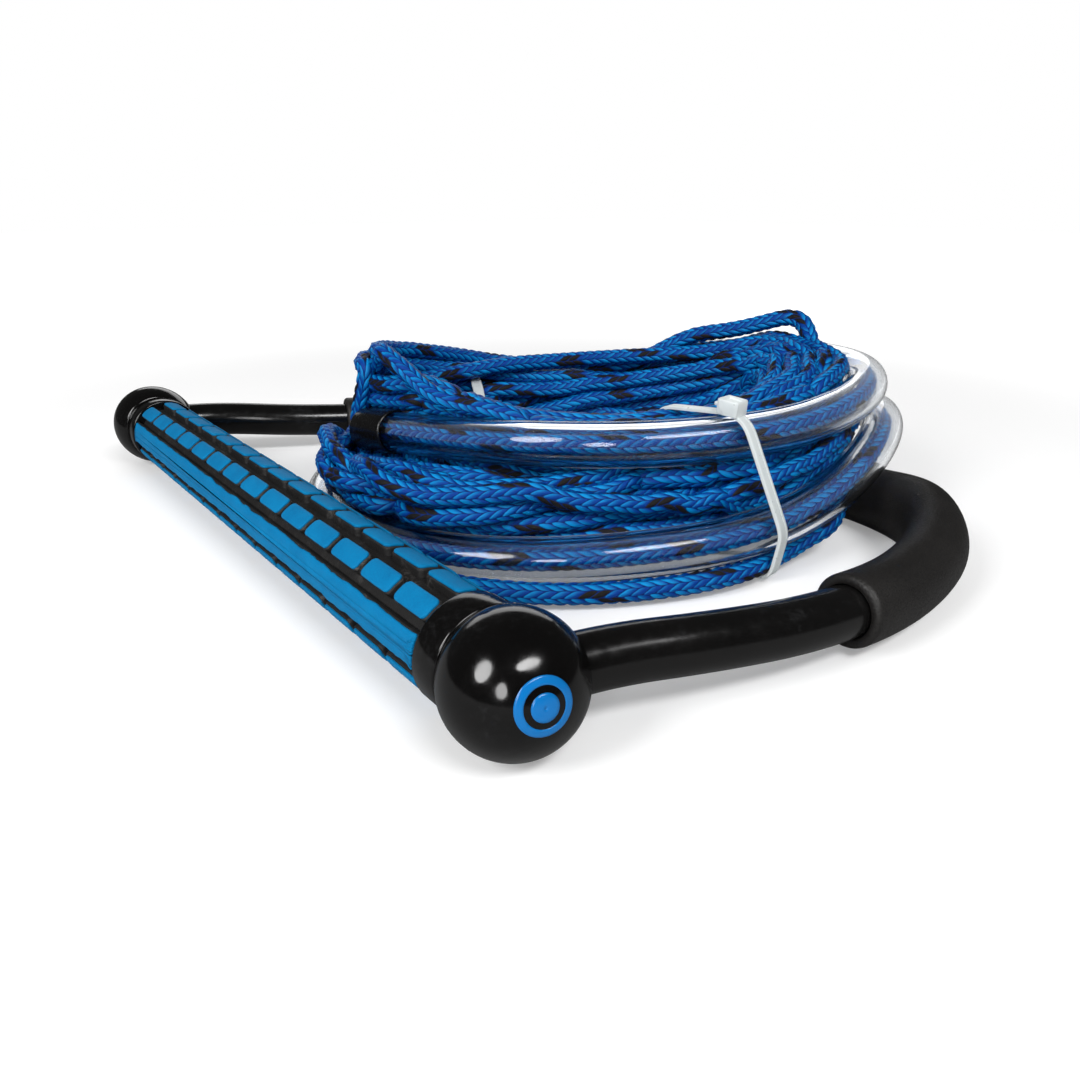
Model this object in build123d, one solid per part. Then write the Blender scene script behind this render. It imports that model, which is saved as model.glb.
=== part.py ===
from build123d import *
import math
import os

# Tow rope handle with its coiled main line. Sizes in millimetres.
# While it is being built, the bar lies along Y with its middle over X = 0, Y = 0,
# the bridle loop reaches towards +X, and everything stands on Z = 0.

# bar and grip
overall_width = 332.0        # over both end balls
ball_d = 37.0
bar_od = 19.0
bar_wall = 2.0
grip_d = 30.0                # over the pads
groove_d = 23.2              # over the floor of the grooves
grip_fit = 0.1               # the grip is stretched over the bar: radial gap left for glue
cap_thick = 0.9              # coloured skin on top of each block
pad_rows = [-13.0, 32.0, 122.0, 167.0, 212.0, 302.0]   # degrees round the bar, from the top
palm_rows = [77.0, 257.0]
pads_per_row = 14
pad_gap = 2.4                # between two blocks of a row
pad_width = 7.4
palm_width = 10.0
cap_inset = 0.55             # black edge left round a coloured cap
pad_corner = 1.6

# end balls, collars and swivels
ball_wall = 3.0
ball_flat = 10.2             # from the ball's centre to the flat that faces the bar
collar_d = 30.8
collar_len = 10.0
collar_web = 1.7             # closed end of a collar, glued to the bar against the grip
collar_fit = 0.1
seam = 0.5                   # open seam between a collar and its ball
washer_thick = 0.5
washer_od = 24.0
spigot_od = 25.0             # neck of the ball's core, inside the collar
spigot_gap = 0.4
bush_od = 22.0
bush_len = 10.5
bush_fit = 0.05              # running fit of the bar in each bush
seat_fit = 0.02              # the bush and the core are pushed into the ball
badge_d = 15.0
badge_thick = 0.8
badge_turn = -14.0           # degrees from the bar's outward axis towards +X
badge_rise = 13.0            # degrees above the bar's axis

# bridle
rope_d = 7.0
rope_bore = 7.8              # free way for the rope in each rope guide
guide_bend = 9.5             # radius that the rope turns through inside a ball
sleeve_od = 16.0
sleeve_id = 11.6
sleeve_hole_fit = 0.5        # open ring between a sleeve and its hole in the ball
sleeve_start = 12.5          # where a sleeve begins, from the ball's centre
float_od = 22.4
float_id = 16.3
splice_od = 10.4             # where the bridle's two ends are joined inside the bar
splice_len = 60.0

# trunk: the clear tube with the first metre of the line inside, and its two end caps
tube_od = 16.0
tube_id = 11.6
cap_od = 17.6
cap_len = 20.0
inner_cap_len = 7.0
cap_floor_thick = 1.5
cap_gap = 0.15               # for the glue
outlet_od = 12.0
outlet_id = 7.6
outlet_face = 5.0            # outer face of the grommet, from the splice
splice_wide = 11.0
lead_len = 7.0               # line between the outer cap and the hank

# hank of main line
hank_centre = (123.0, -36.0)
hank_length = 228.0
hank_width = 157.0
hank_hollow_length = 142.0
hank_hollow_width = 70.0
hank_turn = -27.7            # degrees from X
hank_height = 47.0           # top at the middle of the ring
hank_lift = 28.0             # underside where it lies on the float
hank_tilt = 9.0              # degrees, rising towards the float
hank_floor = 2.2             # underside on the ground, so that the ties pass below
hank_step_x = 183.0          # from here on it lies on the float
clear = 0.4                  # kept between soft pieces that lie against each other

# cable ties
tie_width = 4.6
tie_thick = 1.3
tie_head = (9.0, 7.5, 6.0)
tie_right = ((134.0, -101.5, 29.0), 94.0, 75.0, 54.0, 3.0)   # middle, turn, wide, high, corner
tie_left = ((115.4, 36.1, 25.6), 62.3, 68.3, 47.4, 3.0)


ball_r = ball_d / 2
ball_y = overall_width / 2 - ball_r
collar_y = ball_y - ball_flat - seam               # outer face of a collar
grip_half = collar_y - collar_len
spigot_end = grip_half + collar_web + washer_thick
bar_half = spigot_end + bush_len                   # the bar ends level with its bushes

# Route of the bridle, from the near ball round to the far ball. Inside the balls it
# is a right-angle bend, so the loop's own corners start outside them.
loop_route = [
    (25.0, -151.8, 18.2), (53.0, -162.4, 16.6), (84.0, -170.6, 14.2), (118.0, -173.6, 12.2),
    (146.0, -171.0, 11.6), (171.0, -164.6, 11.5), (190.0, -148.0, 11.5), (199.0, -124.0, 11.5),
    (199.5, -94.0, 11.5), (205.0, -52.0, 11.5), (208.0, -8.0, 11.5), (202.0, 36.0, 11.5),
    (181.0, 74.0, 11.5), (148.0, 96.0, 11.5), (108.0, 107.0, 12.2), (64.0, 121.5, 15.2),
    (26.0, 144.8, 18.2),
]
loop_for_bar = 147.5           # the ball's place on the bar that this route is drawn for
loop_points = [(x, y * ball_y / loop_for_bar, z) for x, y, z in loop_route]
float_from = 3               # the float covers these corners, to halfway along the next runs
float_to = 14

# Route of the trunk, from the float's outlet to the cap where the line comes out.
trunk_points = [
    (217.0, -1.0, 11.5), (238.0, -5.0, 12.0), (251.0, -17.0, 14.5), (258.0, -36.0, 20.0),
    (258.0, -60.0, 28.0), (249.0, -84.0, 34.0), (231.0, -105.0, 36.5), (204.0, -120.5, 35.0),
    (172.0, -128.0, 26.5), (139.0, -128.5, 19.0), (107.0, -122.0, 16.0), (78.0, -109.0, 15.0),
    (54.0, -90.0, 13.0), (37.0, -65.0, 10.5), (27.0, -36.0, 9.0), (24.5, -5.0, 8.6),
    (31.0, 26.0, 8.6), (52.0, 50.0, 9.0), (82.0, 61.0, 10.5), (114.0, 60.0, 15.0),
    (146.0, 51.0, 24.0), (178.0, 35.0, 35.0), (208.0, 11.0, 44.0), (229.0, -18.0, 50.0),
    (239.0, -51.0, 53.0), (235.0, -84.0, 54.0), (214.0, -107.0, 53.5), (182.0, -118.0, 51.0),
    (148.0, -117.5, 48.0), (118.0, -108.5, 46.8), (92.0, -92.5, 46.0), (73.0, -69.0, 44.5),
    (62.0, -44.0, 42.0), (56.0, -17.0, 39.2),
]
trunk_end = (52.0, 12.0, 35.5)
tube_lead = 8.0              # bare line between the splice and the clear tube

# Spliced eye at the line's free end, standing on the hank.
eye_points = [(196.0, -38.0), (205.0, -51.0), (219.0, -58.0), (219.0, -71.0), (206.0, -76.0),
              (192.0, -80.0)]
eye_rise = [0.0, 7.0, 13.0, 13.0, 7.0, 0.0]


def vec(p):
    return Vector(*p)


def corner_radii(points, least=0.0):
    """Each corner's arc is 0.45 of its shorter run over the tangent of half the turn."""
    radii = []
    for a, b, c in zip(points, points[1:], points[2:]):
        u = vec(b) - vec(a)
        v = vec(c) - vec(b)
        turn = math.radians(u.get_angle(v))
        radii.append(max(least, 0.45 * min(u.length, v.length) / math.tan(turn / 2)))
    return radii


def run_path(points, radii):
    return FilletPolyline(*[vec(p) for p in points], radius=radii)


def round_bar(points, radii, diameter):
    """A round rod that follows runs joined by tangent arcs."""
    path = run_path(points, radii)
    start = Plane(origin=path @ 0, z_dir=path % 0)
    return sweep(start * Circle(diameter / 2), path=path)


def along(a, b, share):
    return tuple(p + (q - p) * share for p, q in zip(a, b))


def halfway(a, b):
    return along(a, b, 0.5)


def stretched(a, b, length):
    """The point that lies the given length from a towards b."""
    gap = (vec(b) - vec(a)).length
    return along(a, b, length / gap)


def y_cyl(radius, length, y=0.0, z=ball_r):
    """A cylinder along the bar's axis, centred at the given Y."""
    return Pos(0, y, z) * Rot(90, 0, 0) * Cylinder(radius, length)


# ---------------------------------------------------------------- route of the bridle

near_ball = (0.0, -ball_y, ball_r)
far_ball = (0.0, ball_y, ball_r)
join_gap = 0.2                                     # between the two ends, inside the splice
full_loop = [(0.0, -join_gap / 2, ball_r), near_ball, *loop_points, far_ball,
             (0.0, join_gap / 2, ball_r)]
full_radii = corner_radii(full_loop)
full_radii[0] = guide_bend
full_radii[-1] = guide_bend
loop_radii = full_radii[1:-1]                      # one for each point of loop_points


def loop_stretch(start, end, first, last):
    """Points and radii from start, round corners first to last, to end."""
    points = [start, *loop_points[first:last + 1], end]
    return points, loop_radii[first:last + 1]


near_exit = stretched(near_ball, loop_points[0], sleeve_start)
far_exit = stretched(far_ball, loop_points[-1], sleeve_start)
float_near = halfway(loop_points[float_from - 1], loop_points[float_from])
float_far = halfway(loop_points[float_to], loop_points[float_to + 1])
near_seat = halfway(loop_points[float_from], loop_points[float_from + 1])
far_seat = halfway(loop_points[float_to - 1], loop_points[float_to])


# ---------------------------------------------------------------- bar and grip

def bar_tube():
    return y_cyl(bar_od / 2, 2 * bar_half) - y_cyl(bar_od / 2 - bar_wall, 2 * bar_half + 2)


def grip_place(degrees, y=0.0):
    """Moves a piece whose top faces +Z to its row: turned about the bar's axis."""
    return Pos(0, y, ball_r) * Rot(0, -degrees, 0)


pad_pitch = 2 * grip_half / pads_per_row
pad_centres = [-grip_half + pad_pitch * (i + 0.5) for i in range(pads_per_row)]
shell_r = grip_d / 2
cap_floor = shell_r - cap_thick


def rib(width):
    """A lengthwise rib whose top is left low by the cap's thickness."""
    reach = shell_r
    bar = Pos(0, 0, reach / 2 + 2) * Box(width, 2 * grip_half, reach)
    outside = Rot(90, 0, 0) * Cylinder(cap_floor, 2 * grip_half)
    inside = Rot(90, 0, 0) * Cylinder(groove_d / 2 - 0.6, 2 * grip_half + 2)
    return (bar & outside) - inside


def grip_sleeve():
    body = y_cyl(groove_d / 2, 2 * grip_half)
    block_rib = rib(pad_width)
    slits = [Pos(0, y + pad_pitch / 2, groove_d / 2 + 4.2) * Box(pad_width + 2, pad_gap, 8)
             for y in pad_centres[:-1]]
    block_rib = block_rib - slits
    body = body + [grip_place(a) * block_rib for a in pad_rows]
    body = body + [grip_place(a) * rib(palm_width) for a in palm_rows]
    return body - y_cyl(bar_od / 2 + grip_fit, 2 * grip_half + 2)


def cap(length, width, corner):
    """A thin skin with rounded corners, bent to the grip's radius."""
    outline = extrude(RectangleRounded(width, length, corner), shell_r + 2)
    ring = Rot(90, 0, 0) * (Cylinder(shell_r, length + 2) - Cylinder(cap_floor, length + 4))
    return outline & ring


def pad_row(degrees):
    one = cap(pad_pitch - pad_gap - 2 * cap_inset + 0.4, pad_width - 2 * cap_inset, pad_corner)
    return Compound(children=[grip_place(degrees, y) * one for y in pad_centres])


def palm_strip(degrees):
    one = cap(2 * grip_half - 1.0, palm_width - 2 * cap_inset, 1.2)
    return grip_place(degrees) * one


def collar(side):
    """Glossy cup on the bar that hides the grip's end and covers the swivel."""
    ring = y_cyl(collar_d / 2, collar_len, side * (collar_y - collar_len / 2))
    ring = fillet(ring.edges().filter_by(GeomType.CIRCLE), 0.6)
    ring = ring - y_cyl(bar_od / 2 + collar_fit, collar_len + 2, side * (collar_y - collar_len / 2))
    hollow = collar_len - collar_web
    return ring - y_cyl(spigot_od / 2 + spigot_gap, hollow, side * (collar_y - hollow / 2))


# ---------------------------------------------------------------- end balls

def exit_of(side):
    return (near_exit, near_ball) if side < 0 else (far_exit, far_ball)


def guide_channel(side):
    """The bent way of the rope through a ball, from the bar's bore to the sleeve."""
    ball = exit_of(side)[1]
    out = stretched(ball, loop_points[0] if side < 0 else loop_points[-1], ball_r + 4)
    bend = [(0.0, side * spigot_end, ball_r), ball, out]
    return round_bar(bend, [guide_bend], rope_bore)


def sleeve_way(side, diameter):
    """A straight plug along the first run of a sleeve, from its start outwards."""
    ends, ball = exit_of(side)
    axis = (vec(ends) - vec(ball)).normalized()
    return Plane(origin=vec(ends), z_dir=axis) * Pos(0, 0, 15) * Cylinder(diameter / 2, 30)


bush_y = spigot_end + bush_len / 2                 # middle of a bush
core_r = ball_r - ball_wall


def bush_seat(side, extra=0.0):
    return y_cyl(bush_od / 2 + extra, bush_len, side * bush_y)


def flat_cut(side):
    """Everything on the bar's side of a ball's flat face."""
    return Pos(0, side * (ball_y - ball_flat - ball_r), ball_r) * Box(60, 2 * ball_r, 60)


def ball_place(side):
    """The frame of a ball, with the sphere's own axis towards its sleeve."""
    return Pos(0, side * ball_y, ball_r) * Rot(0, 90, 0)


def badge_place(side):
    turned = math.radians(badge_turn)
    risen = math.radians(badge_rise)
    axis = Vector(math.sin(turned) * math.cos(risen),
                  side * math.cos(turned) * math.cos(risen), math.sin(risen))
    return Plane(origin=Vector(0, side * ball_y, ball_r), z_dir=axis)


def badge(side):
    """Round coloured inlay, flush with the ball."""
    shell = ball_place(side) * (Sphere(ball_r) - Sphere(ball_r - badge_thick))
    return shell & (badge_place(side) * Pos(0, 0, ball_r) * Cylinder(badge_d / 2, ball_r))


def ball(side):
    centre = ball_place(side)
    shell = centre * (Sphere(ball_r) - Sphere(core_r)) - flat_cut(side)
    shell = shell - spigot(side, seat_fit)
    pocket = centre * (Sphere(ball_r + 1) - Sphere(ball_r - badge_thick))
    pocket = pocket & (badge_place(side) * Pos(0, 0, ball_r) * Cylinder(badge_d / 2, ball_r + 4))
    return shell - pocket - sleeve_way(side, sleeve_od + 2 * sleeve_hole_fit)


def spigot(side, extra=0.0):
    length = ball_y - ball_flat / 2 - spigot_end
    return y_cyl(spigot_od / 2 + extra, length, side * (spigot_end + length / 2))


def ball_core(side):
    """Solid guide inside the ball that turns the rope and seats the sleeve and the bush."""
    core = ball_place(side) * Sphere(core_r - seat_fit) - flat_cut(side) + spigot(side)
    core = core - bush_seat(side, seat_fit)
    core = core - sleeve_way(side, sleeve_od + 2 * seat_fit)
    return core - guide_channel(side)


def end_bush(side):
    ring = y_cyl(bush_od / 2, bush_len, side * bush_y)
    return ring - y_cyl(bar_od / 2 + bush_fit, bush_len + 2, side * bush_y)


def thrust_washer(side):
    middle = side * (spigot_end - washer_thick / 2)
    ring = y_cyl(washer_od / 2, washer_thick - 0.1, middle)
    return ring - y_cyl(bar_od / 2 + 0.4, washer_thick + 2, middle)


# ---------------------------------------------------------------- bridle

def bridle_rope():
    return round_bar(full_loop, full_radii, rope_d)


def bridle_splice():
    """The sleeve over the joined ends of the bridle, in the middle of the bar."""
    return y_cyl(splice_od / 2, splice_len) - y_cyl(rope_d / 2, splice_len + 2)


def sleeve(side):
    if side < 0:
        points, radii = loop_stretch(near_exit, near_seat, 0, float_from)
    else:
        points, radii = loop_stretch(far_seat, far_exit, float_to, len(loop_points) - 1)
    return round_bar(points, radii, sleeve_od) - round_bar(points, radii, sleeve_id)


def outlet_way(diameter, start, end):
    """A plug along the first run of the trunk, measured from the run's first point."""
    first, second = vec(trunk_points[0]), vec(trunk_points[1])
    place = Plane(origin=first, z_dir=(second - first).normalized())
    return place * Pos(0, 0, (start + end) / 2) * Cylinder(diameter / 2, end - start)


def float_path():
    return loop_stretch(float_near, float_far, float_from, float_to)


def float_body():
    body = round_bar(*float_path(), float_od) - round_bar(*float_path(), float_id)
    return body - outlet_way(outlet_od, -6, 20)


def float_outlet():
    """Rubber grommet in the float's outer wall."""
    plug = outlet_way(outlet_od - 0.1, -4, outlet_face)
    return plug - round_bar(*float_path(), float_id) - outlet_way(outlet_id, -9, 20)


# ---------------------------------------------------------------- trunk

trunk_route = [*trunk_points, trunk_end]
trunk_radii = corner_radii(trunk_route)
tube_route = [stretched(trunk_points[0], trunk_points[1], tube_lead), *trunk_route[1:]]


def trunk_splice():
    """The line's spliced end, closed round the bridle inside the float."""
    ring = outlet_way(splice_wide, -14, -0.3)
    ring = ring & round_bar(*float_path(), float_id - 0.6)
    return ring - round_bar(full_loop, full_radii, rope_d + 0.1)


def trunk_tube():
    return round_bar(tube_route, trunk_radii, tube_od) - round_bar(tube_route, trunk_radii, tube_id)


def trunk_rope():
    """The first metre of the line, from its splice through the outlet and the clear tube."""
    return round_bar(trunk_route, trunk_radii, rope_d)


def cap_place(inner):
    """A cap's own frame: its Z runs from the tube's end into the tube."""
    a, b = (tube_route[0], tube_route[1]) if inner else (tube_route[-1], tube_route[-2])
    return Plane(origin=vec(a), z_dir=(vec(b) - vec(a)).normalized())


def end_cap(inner):
    """Black cap over one end of the clear tube."""
    length = inner_cap_len if inner else cap_len
    place = cap_place(inner)
    body = place * Pos(0, 0, length / 2 - cap_floor_thick) * Cylinder(cap_od / 2, length)
    body = body - place * Pos(0, 0, length / 2) * Cylinder(tube_od / 2 + cap_gap, length)
    return body - place * Cylinder(rope_d / 2 + seat_fit, 3 * length)


# ---------------------------------------------------------------- hank

def lead_rope():
    """The line between the outer cap and the hank."""
    start = cap_floor_thick
    return cap_place(False) * Pos(0, 0, -(start + lead_len) / 2 ) * Cylinder(rope_d / 2, lead_len - start)


def hank_plan(length, width):
    return Pos(*hank_centre) * Rot(0, 0, hank_turn) * Ellipse(length / 2, width / 2)


def trunk_stretches(corners=4):
    """The trunk in short stretches that run a little into each other."""
    last = len(trunk_route) - 2
    stretches = []
    for first in range(1, last + 1, corners):
        ends = min(first + corners, last + 1)
        inside = trunk_route[first:ends]
        before = halfway(trunk_route[first - 1], inside[0]) if first > 1 else trunk_route[0]
        after = halfway(inside[-1], trunk_route[ends]) if ends <= last else trunk_route[-1]
        before = stretched(inside[0], before, (vec(before) - vec(inside[0])).length + 1)
        after = stretched(inside[-1], after, (vec(after) - vec(inside[-1])).length + 1)
        stretches.append(([before, *inside, after], trunk_radii[first - 1:ends - 1]))
    return stretches


def hank_top(x):
    return hank_height + (x - hank_centre[0]) * math.tan(math.radians(hank_tilt))


def main_line():
    """The outer shape of the coiled line: an oval ring, one end lying on the float."""
    ring = extrude(hank_plan(hank_length, hank_width), 110)
    ring = ring - extrude(hank_plan(hank_hollow_length, hank_hollow_width), 110)
    tilt = math.radians(hank_tilt)
    top = Plane(origin=(*hank_centre, hank_height), z_dir=(-math.sin(tilt), 0, math.cos(tilt)))
    ring = split(ring, bisect_by=top, keep=Keep.BOTTOM)
    ring = ring - Pos(0, 0, hank_floor / 2) * Box(800, 800, hank_floor)
    ring = ring - Pos(hank_step_x + 100, 0, hank_lift / 2) * Box(200, 400, hank_lift)
    for number, (points, radii) in enumerate(trunk_stretches()):
        ring = ring - round_bar(points, radii, tube_od + 2 * clear + 0.4 * (number % 2))
    pocket = cap_len + lead_len - cap_floor_thick
    ring = ring - (cap_place(False) * Pos(0, 0, pocket / 2 - lead_len)
                   * Cylinder(cap_od / 2 + clear, pocket))
    return ring.solids().sort_by(SortBy.VOLUME)[-1]


def tie(middle, degrees, wide, high, corner):
    """A nylon tie closed round the hank, with its lock on the top."""
    x, y, z = middle
    place = Pos(x, y, z) * Rot(0, 0, degrees) * Rot(90, 0, 0)
    outer = RectangleRounded(wide + 2 * tie_thick, high + 2 * tie_thick, corner + tie_thick)
    band = extrude(outer - RectangleRounded(wide, high, corner), tie_width / 2, both=True)
    lock = Pos(-wide / 4, high / 2 + tie_head[2] / 2, 0) * Box(tie_head[0], tie_head[2], tie_head[1])
    return place * (band + lock)


def tow_loop():
    route = [(x, y, hank_top(x) + rope_d / 2 * 1.2 + z) for (x, y), z in zip(eye_points, eye_rise)]
    radii = corner_radii(route)
    print("tow loop radii", [round(r, 1) for r in radii])
    return round_bar(route, radii, rope_d)


def check_volume(name, shape, section, *paths):
    """Prints a soft piece's volume beside its section times its length."""
    length = sum(run_path(points, radii).length for points, radii in paths)
    print(name, "volume", round(shape.volume), "section x length", round(section * length))


def ring_area(outer, inner=0.0):
    return math.pi / 4 * (outer ** 2 - inner ** 2)


print("bridle radii", [round(r, 1) for r in full_radii])
print("trunk radii", [round(r, 1) for r in trunk_radii])

parts = {
    "bar_tube": bar_tube(),
    "grip_sleeve": grip_sleeve(),
    "palm_strip_1": palm_strip(palm_rows[0]),
    "palm_strip_2": palm_strip(palm_rows[1]),
    "collar_near": collar(-1),
    "collar_far": collar(1),
    "ball_near": ball(-1),
    "ball_far": ball(1),
    "ball_core_near": ball_core(-1),
    "ball_core_far": ball_core(1),
    "ball_badge_near": badge(-1),
    "ball_badge_far": badge(1),
    "end_bush_near": end_bush(-1),
    "end_bush_far": end_bush(1),
    "thrust_washer_near": thrust_washer(-1),
    "thrust_washer_far": thrust_washer(1),
    "bridle_rope": bridle_rope(),
    "bridle_splice": bridle_splice(),
    "sleeve_near": sleeve(-1),
    "sleeve_far": sleeve(1),
    "float": float_body(),
    "float_outlet": float_outlet(),
    "trunk_tube": trunk_tube(),
    "trunk_rope": trunk_rope(),
    "trunk_cap_inner": end_cap(True),
    "trunk_cap_outer": end_cap(False),
    "trunk_splice": trunk_splice(),
    "lead_rope": lead_rope(),
    "main_line": main_line(),
    "tow_loop": tow_loop(),
    "tie_right": tie(*tie_right),
    "tie_left": tie(*tie_left),
}
for number, degrees in enumerate(pad_rows, 1):
    parts[f"pad_row_{number}"] = pad_row(degrees)

check_volume("bridle_rope", parts["bridle_rope"], ring_area(rope_d), (full_loop, full_radii))
check_volume("trunk_rope", parts["trunk_rope"], ring_area(rope_d), (trunk_route, trunk_radii))
check_volume("trunk_tube", parts["trunk_tube"], ring_area(tube_od, tube_id), (tube_route, trunk_radii))
check_volume("float", parts["float"], ring_area(float_od, float_id), float_path())

# The frame's origin is under the middle of everything but the main line and what is on it.
on_the_line = ["trunk_tube", "trunk_rope", "trunk_cap_inner", "trunk_cap_outer", "lead_rope",
               "main_line", "tow_loop", "tie_right", "tie_left"]
boxes = [shape.bounding_box() for name, shape in parts.items() if name not in on_the_line]
low_x, high_x = min(b.min.X for b in boxes), max(b.max.X for b in boxes)
low_y, high_y = min(b.min.Y for b in boxes), max(b.max.Y for b in boxes)
to_frame = Pos(-(low_x + high_x) / 2, -(low_y + high_y) / 2, -min(b.min.Z for b in boxes))
print("moved to the frame by", to_frame.position)

os.makedirs("parts", exist_ok=True)
for name, shape in parts.items():
    export_step(to_frame * shape, f"parts/{name}.step")
    print(name, len(shape.solids()), round(shape.volume), shape.bounding_box())
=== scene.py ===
import bpy
import bmesh
import math
import numpy as np
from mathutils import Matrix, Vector


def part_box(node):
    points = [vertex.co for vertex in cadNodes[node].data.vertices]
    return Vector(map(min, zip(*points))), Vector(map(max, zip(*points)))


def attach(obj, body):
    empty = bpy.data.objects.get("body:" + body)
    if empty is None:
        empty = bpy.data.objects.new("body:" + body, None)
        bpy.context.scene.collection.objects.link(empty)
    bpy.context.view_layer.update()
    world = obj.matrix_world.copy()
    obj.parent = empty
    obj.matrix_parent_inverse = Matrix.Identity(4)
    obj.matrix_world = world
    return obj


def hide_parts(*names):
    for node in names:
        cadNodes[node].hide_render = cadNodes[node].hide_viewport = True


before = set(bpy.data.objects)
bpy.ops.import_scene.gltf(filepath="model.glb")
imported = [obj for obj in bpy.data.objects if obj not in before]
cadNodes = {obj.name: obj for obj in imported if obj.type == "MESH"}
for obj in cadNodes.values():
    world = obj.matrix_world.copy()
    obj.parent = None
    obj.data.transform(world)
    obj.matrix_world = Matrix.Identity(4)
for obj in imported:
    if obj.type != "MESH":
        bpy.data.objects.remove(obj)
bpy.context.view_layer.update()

# lengths are in millimetres from the middle of the bar: the bar lies along Y, the floor is at Z = 0
collarLow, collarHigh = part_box("collar_near")
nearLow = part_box("ball_near")[0]
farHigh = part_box("ball_far")[1]
barX = (collarLow.x + collarHigh.x) / 2 * 1000
barY = (nearLow.y + farHigh.y) / 2 * 1000
barZ = (collarLow.z + collarHigh.z) / 2 * 1000
place = np.array([barX, barY, 0.0])
tau = 2 * math.pi
collection = bpy.context.scene.collection


def toFrame(points):
    return (np.asarray(points, float) + place) / 1000


def fromFrame(points):
    return np.asarray(points, float) * 1000 - place


# small tools for nodes
def socketAdd(group, name, kind, way, default=None):
    item = group.interface.new_socket(name=name, in_out=way, socket_type=kind)
    if default is not None and way == "INPUT":
        item.default_value = default
    return item


def startGroup(name, inputs, outputs):
    group = bpy.data.node_groups.new(name, "ShaderNodeTree")
    for label, kind, default in inputs:
        socketAdd(group, label, kind, "INPUT", default)
    for label, kind in outputs:
        socketAdd(group, label, kind, "OUTPUT")
    return group, group.nodes.new("NodeGroupInput"), group.nodes.new("NodeGroupOutput")


def mathNode(tree, operation, *values, clamp=False):
    node = tree.nodes.new("ShaderNodeMath")
    node.operation = operation
    node.use_clamp = clamp
    for number, value in enumerate(values):
        if isinstance(value, (int, float)):
            node.inputs[number].default_value = value
        else:
            tree.links.new(value, node.inputs[number])
    return node.outputs[0]


def mixColour(tree, factor, first, second, blend="MIX"):
    node = tree.nodes.new("ShaderNodeMix")
    node.data_type = "RGBA"
    node.blend_type = blend
    for socket, value in ((node.inputs[0], factor), (node.inputs[6], first), (node.inputs[7], second)):
        if isinstance(value, (int, float)):
            socket.default_value = value
        elif isinstance(value, (tuple, list)):
            socket.default_value = (*value, 1.0)
        else:
            tree.links.new(value, socket)
    return node.outputs[2]


def mapRange(tree, value, low, high, toLow, toHigh, smooth=False):
    node = tree.nodes.new("ShaderNodeMapRange")
    node.interpolation_type = "SMOOTHSTEP" if smooth else "LINEAR"
    tree.links.new(value, node.inputs[0])
    for number, bound in enumerate((low, high, toLow, toHigh), 1):
        node.inputs[number].default_value = bound
    return node.outputs[0]


def noiseNode(tree, vector, scale, detail=3.0, roughness=0.5):
    node = tree.nodes.new("ShaderNodeTexNoise")
    node.inputs["Detail"].default_value = detail
    node.inputs["Roughness"].default_value = roughness
    if isinstance(scale, (int, float)):
        node.inputs["Scale"].default_value = scale
    else:
        tree.links.new(scale, node.inputs["Scale"])
    tree.links.new(vector, node.inputs["Vector"])
    return node.outputs["Fac"]


def bumpNode(tree, height, strength, distance, normal=None):
    node = tree.nodes.new("ShaderNodeBump")
    node.inputs["Strength"].default_value = strength
    node.inputs["Distance"].default_value = distance
    tree.links.new(height, node.inputs["Height"])
    if normal is not None:
        tree.links.new(normal, node.inputs["Normal"])
    return node.outputs["Normal"]


# effects that several finishes share
def fineGrainGroup():
    group, ins, outs = startGroup("fineGrain",
        [("Scale", "NodeSocketFloat", 900.0), ("Blotch Scale", "NodeSocketFloat", 60.0)],
        [("Grain", "NodeSocketFloat"), ("Blotch", "NodeSocketFloat"), ("Height", "NodeSocketFloat")])
    where = group.nodes.new("ShaderNodeTexCoord").outputs["Object"]
    grain = noiseNode(group, where, ins.outputs["Scale"], 4.0, 0.6)
    blotch = noiseNode(group, where, ins.outputs["Blotch Scale"], 3.0, 0.55)
    height = mathNode(group, "ADD", grain, mathNode(group, "MULTIPLY", blotch, 0.35))
    group.links.new(grain, outs.inputs["Grain"])
    group.links.new(blotch, outs.inputs["Blotch"])
    group.links.new(height, outs.inputs["Height"])
    return group


def dustGroup():
    group, ins, outs = startGroup("settledDust",
        [("Amount", "NodeSocketFloat", 0.3), ("Speck Scale", "NodeSocketFloat", 500.0)],
        [("Mask", "NodeSocketFloat")])
    where = group.nodes.new("ShaderNodeTexCoord").outputs["Object"]
    specks = noiseNode(group, where, ins.outputs["Speck Scale"], 5.0, 0.75)
    cloud = noiseNode(group, where, 45.0, 2.0, 0.5)
    mask = mapRange(group, mathNode(group, "MULTIPLY", specks, cloud), 0.27, 0.5, 0.0, 1.0, True)
    mask = mathNode(group, "MULTIPLY", mask, ins.outputs["Amount"], clamp=True)
    group.links.new(mask, outs.inputs["Mask"])
    return group


fineGrain = fineGrainGroup()
settledDust = dustGroup()


def useGroup(tree, group, **values):
    node = tree.nodes.new("ShaderNodeGroup")
    node.node_tree = group
    for label, value in values.items():
        node.inputs[label.replace("_", " ")].default_value = value
    return node


def startMaterial(name, **sockets):
    material = bpy.data.materials.new(name)
    material.use_nodes = True
    tree = material.node_tree
    shader = tree.nodes["Principled BSDF"]
    for label, value in sockets.items():
        shader.inputs[label.replace("_", " ")].default_value = value
    return material, tree, shader


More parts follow.
